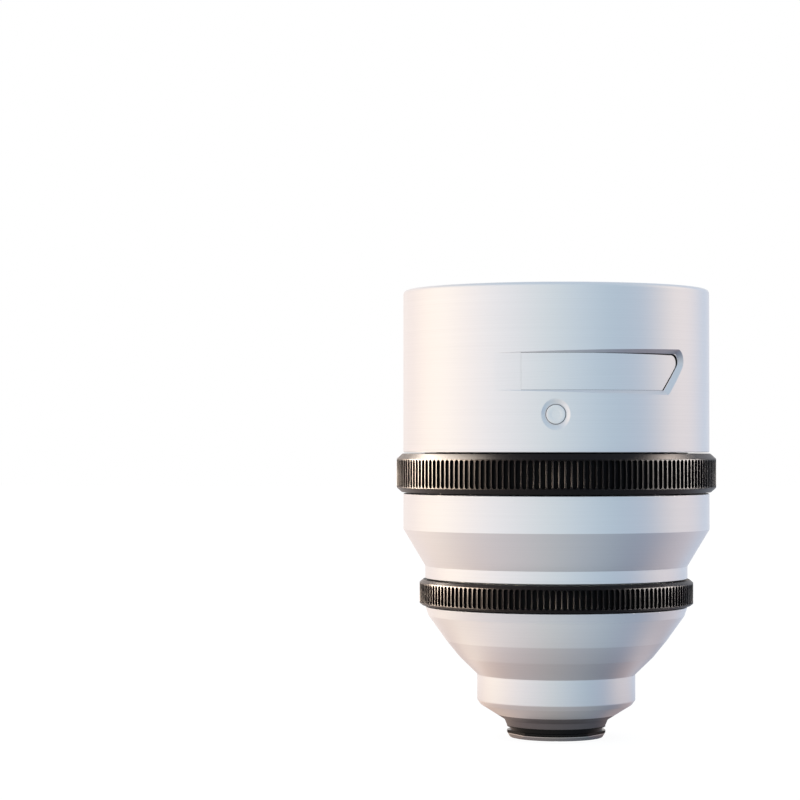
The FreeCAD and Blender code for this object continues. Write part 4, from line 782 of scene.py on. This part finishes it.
def fluted_ring(name, cad_name, bore, chamfers, half_width, depth, plain, count):
    """A whole grip ring in the place of its solid; plain is the smooth edge past each flute."""
    low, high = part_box(cad_name)
    foot, head, outer = low.z / MM, high.z / MM, high.x / MM
    profile = (bore, outer, foot, head, *chamfers)
    grip_low, grip_high = foot + plain[0], head - plain[1]
    ring = grip_sector(
        name, profile, count, grip_low + half_width, grip_high - half_width, half_width, depth,
    )
    made_plain(ring, GRIP_FLUTES, {"Flutes": count, "Weld distance": 1e-5, "Finish": black_grip})

    def flute_finish(centre, normal):
        """The flutes keep the cutter's matte surface; lands and bevels are smoother."""
        in_flute = outer - depth - 0.1 < math.hypot(centre.x, centre.y) < outer - 0.06
        return 1 if in_flute and grip_low < centre.z < grip_high else 0

    painted(ring, black_grip, black_flute, where=flute_finish)
    return smoothed(ring, GRIP_SHARP_ANGLE)


focus_ring = fluted_ring(
    "focus_grip", "focus_ring", bore=25.83, chamfers=(1.0, 1.15), half_width=0.47, depth=0.5,
    plain=(1.10, 1.25), count=168,
)
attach(focus_ring, "focus_ring_set")
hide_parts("focus_ring")

# Fine focus ring. Made like the focus ring, but smaller and with narrower flutes; it turns
# between the neck of the middle barrel and the rear barrel.
fine_ring = fluted_ring(
    "fine_grip", "fine_focus_ring", bore=23.73, chamfers=(0.5, 0.7), half_width=0.45, depth=0.46,
    plain=(0.60, 0.80), count=150,
)
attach(fine_ring, "fine_ring_set")
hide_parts("fine_focus_ring")

# Rear barrel. One turned aluminium piece in the white coat: a band, three conical facets, a
# short cylinder and a cone. Only the flared taper above the phone mount is gunmetal grey.
rear_low, rear_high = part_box("rear_barrel")
rear_foot = rear_low.z / MM
rear_head = rear_high.z / MM
MOUNT_RADIUS = 9.65
WAIST_RADIUS = 10.15
TAPER_RADIUS = 11.5
REAR_RADIUS = 15.5
LOW_FACET_RADIUS = 19.0
MIDDLE_FACET_RADIUS = 21.6
TOP_FACET_RADIUS = 25.1
CONE_EDGE_RADIUS = REAR_RADIUS - 0.65
BAND_BORE = 20.5
SLEEVE_BORE = 18.03
CELL_BORE = 13.4
WINDOW_BORE = 8.65
LIGHT_BORE = 7.4
taper_top = rear_foot + 2.0
cone_top = taper_top + 2.1
cylinder_top = cone_top + 5.9
low_facet_top = cylinder_top + 3.4
middle_facet_top = low_facet_top + 3.2
top_facet_top = middle_facet_top + 4.9
dark_top = taper_top + 0.2
dark_share = (dark_top - taper_top) / (cone_top - taper_top)
dark_radius = TAPER_RADIUS + (CONE_EDGE_RADIUS - TAPER_RADIUS) * dark_share
sleeve_seat = middle_facet_top + 0.5
cell_room = low_facet_top + 0.9
window_room = cone_top + 1.0
window_seat = rear_foot + 2.6
rear_barrel = spun("rear_barrel_shell", softened([
    (MOUNT_RADIUS, rear_foot, 0.05),
    (WAIST_RADIUS, rear_foot + 1.15, 0.4),
    (TAPER_RADIUS, taper_top, 0.1),
    (dark_radius, dark_top, 0),
    (CONE_EDGE_RADIUS, cone_top, 0.4),
    (REAR_RADIUS, cone_top + 0.9, 0.4),
    (REAR_RADIUS, cylinder_top, 0.12),
    (LOW_FACET_RADIUS, low_facet_top, 0.1),
    (MIDDLE_FACET_RADIUS, middle_facet_top, 0.1),
    (TOP_FACET_RADIUS, top_facet_top, 0.1),
    (NECK_RADIUS, rear_head, 0.15),
    (BAND_BORE, rear_head, 0),
    (BAND_BORE, sleeve_seat, 0),
    (SLEEVE_BORE, sleeve_seat, 0),
    (SLEEVE_BORE, cell_room, 0),
    (CELL_BORE, cell_room, 0),
    (CELL_BORE, window_room, 0),
    (WINDOW_BORE, window_room, 0),
    (WINDOW_BORE, window_seat, 0),
    (LIGHT_BORE, window_seat, 0),
    (LIGHT_BORE, rear_foot, 0),
]))
smoothed(rear_barrel)
gunmetal = turned_finish(
    "gunmetal_anodised", ((0.17, 0.155, 0.16), (0.21, 0.195, 0.20)),
    per_mm=8.0, roughness=(0.45, 0.38), height=0.0015, metallic=0.4,
)


def rear_finish(centre, normal):
    """White outside, the darker copy of the white as painted shade on two facets, gunmetal on the
    taper, black inside.
    """
    radius = math.hypot(centre.x, centre.y)
    inward = normal.x * centre.x + normal.y * centre.y < -0.2 * radius
    if inward or radius < MOUNT_RADIUS - 0.2:
        return 2
    if cylinder_top + 0.05 < centre.z < middle_facet_top - CONE_MARGIN:
        return 3
    return 1 if centre.z < dark_top - CONE_MARGIN else 0


painted(rear_barrel, pearl_white, gunmetal, black_inside, shaded_white, where=rear_finish)
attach(rear_barrel, "barrel")
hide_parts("rear_barrel")

# Phone mount. A turned ring, black above a bright flange whose polished upper edge is painted
# in a much lighter metal as a highlight; three lugs are left between its flats, and three small
# screws hold it under the rear barrel.
mount_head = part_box("mount_ring")[1].z / MM
MOUNT_BORE = 7.2
LUG_HEIGHT = 1.35
LUG_ROOT = 9.0
LUG_WINDOW = 4.0
HEAD_FLANGE = 0.25
FLANGE_REACH = 0.55
FLANGE_HEIGHT = 0.95
POLISHED_HIGHLIGHT_BOTTOM = 0.66
POLISHED_HIGHLIGHT_TOP = 0.8
SCREW_CIRCLE = 8.3
SCREW_HEAD = 0.87
SCREW_HOLE = 0.47
COUNTERSINK = 0.5
SCREW_AZIMUTHS = (0, 120, 240)
SCREW_AROUND = 48
HOLE_TOP = 3
FLANGE_SIDE = 8.5


def flange_edge(level):
    """The radius of the bright flange's slanted side at this height."""
    return MOUNT_RADIUS - FLANGE_REACH * (1 - level / FLANGE_HEIGHT)


mount_ring = spun("mount_ring_turned", softened([
    (MOUNT_BORE, 0, 0.06),
    (MOUNT_RADIUS - FLANGE_REACH, 0, 0.15),
    (flange_edge(POLISHED_HIGHLIGHT_BOTTOM), POLISHED_HIGHLIGHT_BOTTOM, 0),
    (flange_edge(POLISHED_HIGHLIGHT_TOP), POLISHED_HIGHLIGHT_TOP, 0),
    (MOUNT_RADIUS, FLANGE_HEIGHT, 0.15),
    (MOUNT_RADIUS, LUG_HEIGHT, 0.1),
    (LUG_ROOT, LUG_HEIGHT, 0.05),
    (LUG_ROOT, mount_head - HEAD_FLANGE, 0.05),
    (MOUNT_RADIUS, mount_head - HEAD_FLANGE, 0.06),
    (MOUNT_RADIUS, mount_head, 0.06),
    (MOUNT_BORE, mount_head, 0),
], margin=0.04))
window_levels = (-1, POLISHED_HIGHLIGHT_BOTTOM, POLISHED_HIGHLIGHT_TOP, LUG_HEIGHT)
windows = [
    block(f"lug_window_{azimuth}", [
        (((-LUG_WINDOW, low), (LUG_WINDOW, low), (LUG_WINDOW, high), (-LUG_WINDOW, high)), distance)
        for distance in (LUG_ROOT, LUG_ROOT + 2)
    ], facing(azimuth))
    for azimuth in (60, 180, 300)
    for low, high in zip(window_levels, window_levels[1:])
]


def screw_place(azimuth):
    """A screw's axis under the mount, pointing up from the foot."""
    angle = math.radians(azimuth)
    spot = Vector((SCREW_CIRCLE * math.sin(angle), -SCREW_CIRCLE * math.cos(angle), 0)) * MM
    return Matrix.Translation(spot)


screw_mouths = [
    spun(f"screw_mouth_{azimuth}", [
        (0, -COUNTERSINK),
        (SCREW_HEAD + COUNTERSINK, -COUNTERSINK),
        (SCREW_HEAD, 0),
        (SCREW_HOLE, COUNTERSINK),
        (SCREW_HOLE, HOLE_TOP),
        (0, HOLE_TOP),
    ], around=SCREW_AROUND, place=screw_place(azimuth))
    for azimuth in SCREW_AZIMUTHS
]
carved(mount_ring, *windows, *screw_mouths)
smoothed(mount_ring)
bright_metal = turned_finish(
    "bright_turned_metal", ((0.33, 0.33, 0.34), (0.40, 0.40, 0.41)),
    per_mm=8.0, roughness=(0.2, 0.14), height=0.002, metallic=0.95,
)
black_gloss = turned_finish(
    "black_gloss_neck", ((0.003, 0.003, 0.003), (0.005, 0.004, 0.004)),
    per_mm=8.0, roughness=(0.24, 0.18), height=0.0015, metallic=0.0, specular=0.2,
)
# A much lighter copy of the bright metal for the flange's upper edge: a painted highlight.
polished_highlight_metal = turned_finish(
    "polished_edge_painted_highlight", ((0.80, 0.79, 0.78), (0.86, 0.85, 0.84)),
    per_mm=8.0, roughness=(0.2, 0.15), height=0.001, metallic=0.95,
)


def mount_finish(centre, normal):
    """Black above the bright flange, whose polished upper edge is painted lighter as a highlight.
    """
    if centre.z > POLISHED_HIGHLIGHT_TOP:
        return 1
    return 2 if centre.z > POLISHED_HIGHLIGHT_BOTTOM and centre.xy.length > FLANGE_SIDE else 0


painted(mount_ring, bright_metal, black_gloss, polished_highlight_metal, where=mount_finish)
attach(mount_ring, "barrel")
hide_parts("mount_ring")

# Mount screws. Three countersunk steel screws with a hexagon socket, set flush into the
# mount ring's face from below.
SOCKET = 0.42
SHANK_RADIUS = 0.45
SCREW_LENGTH = 4.3
SCREW_INSET = 0.02
screws_mesh = bmesh.new()
for azimuth in SCREW_AZIMUTHS:
    screw = spun(f"mount_screw_{azimuth}", softened([
        (0, SCREW_INSET, 0),
        (SCREW_HEAD - 0.04, SCREW_INSET, 0.05),
        (SHANK_RADIUS, COUNTERSINK, 0),
        (SHANK_RADIUS, SCREW_LENGTH, 0),
        (0, SCREW_LENGTH, 0),
    ]), around=SCREW_AROUND, place=screw_place(azimuth))
    hexagon = [
        (SOCKET * math.cos(math.radians(turn)), SOCKET * math.sin(math.radians(turn)))
        for turn in range(0, 360, 60)
    ]
    socket = block(
        f"socket_{azimuth}", [(hexagon, -COUNTERSINK), (hexagon, SOCKET)], screw_place(azimuth),
    )
    screws_mesh.from_mesh(carved(screw, socket).data)
    bpy.data.objects.remove(screw)
mount_screws = smoothed(as_piece("mount_screw_set", screws_mesh))
painted(mount_screws, plain_steel)
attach(mount_screws, "barrel")
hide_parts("mount_screws")

# Rear window. A flat polished disc of coated glass behind the mount, with a bevelled rim; it
# keeps dust out of the lens at the phone's end.
window_low, window_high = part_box("rear_window")
window_foot = window_low.z / MM
window_head = window_high.z / MM
WINDOW_RADIUS = 8.62
WINDOW_BEVEL = 0.15
rear_window = spun("rear_window_glass", softened([
    (0, window_foot, 0),
    (WINDOW_RADIUS, window_foot, WINDOW_BEVEL),
    (WINDOW_RADIUS, window_head, WINDOW_BEVEL),
    (0, window_head, 0),
]), around=192)
smoothed(rear_window)


def coated_glass(name, tint, film):
    """Polished optical glass; film is the thickness of its coating in nanometres."""
    material, tree, shader = plain_material(name)
    place = node(tree, "ShaderNodeTexCoord")
    smears = node(tree, "ShaderNodeTexNoise", {
        "Vector": place.outputs["Object"], "Scale": 60.0, "Detail": 4.0,
    })
    filled(tree, shader, {
        "Base Color": mixed(tree, smears.outputs["Fac"], (*tint, 1), (1, 1, 1, 1)),
        "Roughness": ranged(tree, smears.outputs["Fac"], 0.55, 0.8, 0, 0.03),
        "Transmission Weight": 1.0,
        "IOR": 1.62,
        "Thin Film Thickness": film,
        "Thin Film IOR": 1.38,
    })
    return material


violet_glass = coated_glass("violet_coated_glass", (0.93, 0.95, 1.0), 460)
green_glass = coated_glass("green_coated_glass", (0.95, 1.0, 0.97), 340)
painted(rear_window, violet_glass)
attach(rear_window, "barrel")
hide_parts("rear_window")

# Front lens. A large lens with a bevelled rim and flat lands, which bulges strongly at the front
# and slightly at the back; its coating shows violet.
FRONT_GLASS = 23.14
FRONT_CLEAR = 21.94
FLAT_CURVE = 220
STEEP_CURVE = 90
GLASS_BEVEL = 0.15
GLASS_SHARP_ANGLE = 20
LENS_AROUND = 256
LENS_STEPS = 20


def lens_outline(low, high, under, over):
    """A front lens seen from the side: flat lands at its rim, faces of these sags inside."""
    outer, inner = FRONT_GLASS, FRONT_GLASS - GLASS_BEVEL
    reaches = [FRONT_CLEAR * step / LENS_STEPS for step in range(LENS_STEPS + 1)]
    bulges = [1 - (reach / FRONT_CLEAR) ** 2 for reach in reaches]
    bottom = [(reach, low + under * bulge) for reach, bulge in zip(reaches, bulges)]
    rim = [(inner, low), (outer, low + GLASS_BEVEL), (outer, high - GLASS_BEVEL), (inner, high)]
    top = [(reach, high + over * bulge) for reach, bulge in zip(reaches, bulges)]
    return bottom + rim + top[::-1]


def sag(curve):
    """How far a face of this curve bulges over the clear part of a front lens."""
    return curve - math.sqrt(curve * curve - FRONT_CLEAR * FRONT_CLEAR)


TRIM_HEIGHT = 2.0
trim_top = filter_floor
cell_top = trim_top - TRIM_HEIGHT
front_lens_high = cell_top - 2.6
front_lens_low = front_lens_high - 2.6
second_lens_high = front_lens_low - 1.8
second_lens_low = second_lens_high - 5.2
front_lens = spun("front_lens_glass", lens_outline(
    front_lens_low, front_lens_high, -sag(FLAT_CURVE), sag(STEEP_CURVE),
), around=LENS_AROUND)
smoothed(front_lens, GLASS_SHARP_ANGLE)
painted(front_lens, violet_glass)
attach(front_lens, "barrel")
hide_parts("front_lens")

# Second lens. Close behind the front lens and thicker, hollow at the front and slightly bulged
# at the back; its coating shows green.
second_lens = spun("second_lens_glass", lens_outline(
    second_lens_low, second_lens_high, -sag(FLAT_CURVE), -sag(STEEP_CURVE),
), around=LENS_AROUND)
smoothed(second_lens, GLASS_SHARP_ANGLE)
painted(second_lens, green_glass)
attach(second_lens, "barrel")
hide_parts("second_lens")

# Front trim ring. A matt black funnel with fine concentric steps that catch stray light; it
# hides the retaining ring and leads the eye down to the front glass.
CELL_OUTER = 26.47
STEPS = 9
STEP_LEAN = 0.02
trim_low_radius = FRONT_CLEAR + 0.4
trim_high_radius = FRONT_CLEAR + 3.2
trim_spread = trim_high_radius - trim_low_radius
stepped = []
for step in range(STEPS):
    low_reach = trim_low_radius + trim_spread * (step / STEPS)
    high_reach = trim_low_radius + trim_spread * (step + 1) / STEPS
    level = cell_top + TRIM_HEIGHT * (step / STEPS)
    stepped += [(low_reach + STEP_LEAN, level, 0), (high_reach, level, 0)]
trim_ring = spun("stepped_trim_ring", softened([
    stepped[0],
    (CELL_OUTER, cell_top, 0),
    (CELL_OUTER, trim_top, 0.08),
    (trim_high_radius + STEP_LEAN, trim_top, 0),
    *stepped[:0:-1],
]))
smoothed(trim_ring)
painted(trim_ring, black_inside)
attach(trim_ring, "barrel")
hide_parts("front_trim_ring")

# Inner pieces. Cells, tubes, rings and baffle of matt black anodised aluminium, polished inner
# lenses, brass cam rollers, plain steel screws and pins, and white slip washers. Their
# CAD shapes stay and get these finishes.
turned_brass = turned_finish(
    "turned_brass", ((0.60, 0.42, 0.16), (0.72, 0.52, 0.22)),
    per_mm=9.0, roughness=(0.36, 0.26), height=0.003, metallic=1.0,
)
slip_plastic = turned_finish(
    "white_slip_plastic", ((0.66, 0.65, 0.60), (0.74, 0.73, 0.69)),
    per_mm=3.0, roughness=(0.6, 0.5), height=0.004, metallic=0.0,
)
FINISHES = {
    "black_metal": black_inside,
    "coated_glass": green_glass,
    "steel": plain_steel,
    "brass": turned_brass,
    "slip_washer": slip_plastic,
}
slot_of = {item["node"]: item["material_slot"] for item in frame["record"]["subparts"]}
for node_name, node_piece in frame["nodes"].items():
    if node_piece.hide_render:
        continue
    node_piece.data.materials.clear()
    node_piece.data.materials.append(FINISHES[slot_of[node_name]])

# Studio. A pale floor, a room that is warm on the left, grey in front and cool on the right,
# and four soft lights at the sides and behind that fall on the two black rings alone. The
# camera stands at the photograph's height and angle.
WALL_TONES = (
    (-180, (1.00, 0.95, 0.92)),
    (-134, (1.06, 0.93, 0.88)),
    (-111, (1.31, 1.14, 1.00)),
    (-93, (1.32, 1.20, 1.07)),
    (-73, (1.20, 1.08, 1.01)),
    (-51, (1.03, 1.00, 1.01)),
    (-27, (0.89, 0.90, 0.93)),
    (-4, (0.74, 0.82, 0.85)),
    (18, (0.60, 0.71, 0.81)),
    (42, (0.45, 0.59, 0.71)),
    (67, (0.53, 0.63, 0.76)),
    (86, (0.91, 0.85, 0.84)),
    (100, (1.15, 1.02, 0.95)),
    (116, (1.08, 0.96, 0.92)),
    (143, (0.58, 0.69, 0.85)),
    (180, (1.00, 0.95, 0.92)),
)
SHADE_TONES = (
    (0, (0.50, 0.44, 0.42)),
    (12, (0.52, 0.45, 0.42)),
    (18, (0.52, 0.45, 0.43)),
    (24, (0.66, 0.58, 0.56)),
    (30, (0.86, 0.82, 0.80)),
    (38, (0.84, 0.80, 0.78)),
    (50, (0.68, 0.64, 0.64)),
    (75, (0.85, 0.83, 0.83)),
    (110, (1.00, 1.00, 1.00)),
)
SHADE_REACH = 0.15
FLOOR = 3.0
FLOOR_LEVEL = -0.0001
LAMP_DISTANCE = 0.7
LAMP_AIM = 0.05


def toned(tree, level, stops):
    """A colour ramp over stops of (position, colour)."""
    ramp = node(tree, "ShaderNodeValToRGB", {"Fac": level})
    elements = ramp.color_ramp.elements
    while len(elements) < len(stops):
        elements.new(0.5)
    for element, (position, tone) in zip(elements, stops):
        element.position = position
        element.color = (*tone, 1)
    return ramp.outputs["Color"]


def studio_tones():
    """Shader group: the colour of the studio's walls in a direction from the lens axis."""
    tree, given, result = group(
        "studio_tones", "ShaderNodeTree", {"Direction": "Vector"}, {"Colour": "Color"},
    )
    split = node(tree, "ShaderNodeSeparateXYZ", {0: given.outputs["Direction"]})
    forward = arithmetic(tree, "MULTIPLY", split.outputs["Y"], -1.0)
    angle = arithmetic(tree, "ARCTAN2", split.outputs["X"], forward)
    turn = ranged(tree, angle, -math.pi, math.pi)
    stops = [(azimuth / 360 + 0.5, tone) for azimuth, tone in WALL_TONES]
    filled(tree, result, {"Colour": toned(tree, turn, stops)})
    return tree


def shader_mix(tree, share, first, second):
    """Two shaders mixed; the share is that of the second."""
    return node(tree, "ShaderNodeMixShader", {0: share, 1: first, 2: second}).outputs[0]


def pale_floor():
    """A pale floor: it fades into the backdrop, dims near the lens and is clear from below."""
    material, tree, shader = plain_material("pale_floor")
    tree.nodes.remove(shader)
    place = node(tree, "ShaderNodeTexCoord").outputs["Object"]
    walls = node(tree, "ShaderNodeGroup", node_tree=STUDIO_TONES)
    filled(tree, walls, {"Direction": place})
    distance = node(tree, "ShaderNodeVectorMath", {0: place}, operation="LENGTH")
    reach = ranged(tree, distance.outputs["Value"], 0, SHADE_REACH)
    stops = [(millimetres * MM / SHADE_REACH, tone) for millimetres, tone in SHADE_TONES]
    shaded = mixed(
        tree, 1.0, walls.outputs["Colour"], toned(tree, reach, stops), blend_type="MULTIPLY",
    )
    heading = node(tree, "ShaderNodeVectorMath", {0: place}, operation="NORMALIZE")
    sides = node(tree, "ShaderNodeSeparateXYZ", {0: heading.outputs["Vector"]})
    rightward = ranged(tree, sides.outputs["X"], 0.6, 1.0, interpolation_type="SMOOTHSTEP")
    cooled = mixed(tree, rightward, shaded, (0.66, 0.70, 0.80, 1), blend_type="MULTIPLY")
    glow = node(tree, "ShaderNodeEmission", {"Color": cooled})
    paper = node(tree, "ShaderNodeBsdfDiffuse", {"Color": (0.14, 0.14, 0.14, 1)})
    bleach = node(tree, "ShaderNodeEmission", {"Color": (1, 1, 1, 1), "Strength": 0.93})
    seen = node(tree, "ShaderNodeAddShader", {0: paper.outputs[0], 1: bleach.outputs[0]})
    rays = node(tree, "ShaderNodeLightPath")
    both = shader_mix(tree, rays.outputs["Is Camera Ray"], glow.outputs[0], seen.outputs[0])
    clear = node(tree, "ShaderNodeBsdfTransparent")
    side = node(tree, "ShaderNodeNewGeometry")
    one_sided = shader_mix(tree, side.outputs["Backfacing"], both, clear.outputs[0])
    filled(tree, tree.nodes["Material Output"], {"Surface": one_sided})
    return material


STUDIO_TONES = studio_tones()
floor_mesh = bpy.data.meshes.new("studio_floor")
floor_corners = [(-FLOOR, -FLOOR), (FLOOR, -FLOOR), (FLOOR, FLOOR), (-FLOOR, FLOOR)]
floor_mesh.from_pydata([(x, y, FLOOR_LEVEL) for x, y in floor_corners], [], [(0, 1, 2, 3)])
floor_mesh.materials.append(pale_floor())
studio_floor = added("studio_floor", floor_mesh)

world = bpy.data.worlds.new("studio_room")
bpy.context.scene.world = world
world.use_nodes = True
room = world.node_tree
direction = node(room, "ShaderNodeTexCoord").outputs["Generated"]
room_walls = node(room, "ShaderNodeGroup", node_tree=STUDIO_TONES)
filled(room, room_walls, {"Direction": direction})
height = node(room, "ShaderNodeSeparateXYZ", {0: direction})
rise = ranged(room, height.outputs["Z"], 0.35, 0.95, interpolation_type="SMOOTHSTEP")
room_light = room.nodes["Background"]
filled(room, room_light, {
    "Color": mixed(room, rise, room_walls.outputs["Colour"], (0.55, 0.66, 0.78, 1)),
})
backdrop = node(room, "ShaderNodeBackground", {"Color": (1, 1, 1, 1)})
room_rays = node(room, "ShaderNodeLightPath")
filled(room, room.nodes["World Output"], {"Surface": shader_mix(
    room, room_rays.outputs["Is Camera Ray"], room_light.outputs[0], backdrop.outputs[0],
)})

black_pieces = bpy.data.collections.new("pieces_lit_by_the_lamps")
for piece in (focus_ring, fine_ring):
    black_pieces.objects.link(piece)


def softbox(name, azimuth, elevation, width, height, glow, colour):
    """A soft light on the black rings; azimuth 0 is the camera's side, 90 its right."""
    lamp = bpy.data.lights.new(name, "AREA")
    lamp.shape = "RECTANGLE"
    lamp.size = width
    lamp.size_y = height
    lamp.energy = glow * math.pi * width * height
    lamp.color = colour
    holder = added(name, lamp)
    turn = math.radians(azimuth)
    lift = math.radians(elevation)
    spot = LAMP_DISTANCE * Vector((
        math.sin(turn) * math.cos(lift),
        -math.cos(turn) * math.cos(lift),
        math.sin(lift),
    ))
    holder.rotation_euler = (-spot).to_track_quat("-Z", "Y").to_euler()
    holder.location = spot + Vector((0, 0, LAMP_AIM))
    holder.light_linking.receiver_collection = black_pieces


softbox("warm_back_light", -132, 48, 0.40, 0.40, 40, (1.0, 0.86, 0.73))
softbox("rosy_back_light", 134, 46, 0.17, 0.17, 29, (1.0, 0.84, 0.74))
softbox("warm_side_light", -94, 4, 0.78, 0.30, 175, (1.0, 0.79, 0.62))
softbox("pale_side_light", 91, 4, 0.60, 0.30, 64, (1.0, 0.91, 0.85))

EYE_DISTANCE = 0.506
EYE_HEIGHT = 0.0572
LOOKING_UP = 1.0
LOOKING_LEFT = 3.474
camera_data = bpy.data.cameras.new("photo_camera")
camera_data.sensor_width = 36.0
camera_data.lens = 115.5
camera_data.clip_start = 0.01
camera = added("photo_camera", camera_data)
camera.location = (0.0, -EYE_DISTANCE, EYE_HEIGHT)
camera.rotation_euler = (math.radians(90 + LOOKING_UP), 0, math.radians(LOOKING_LEFT))
bpy.context.scene.camera = camera
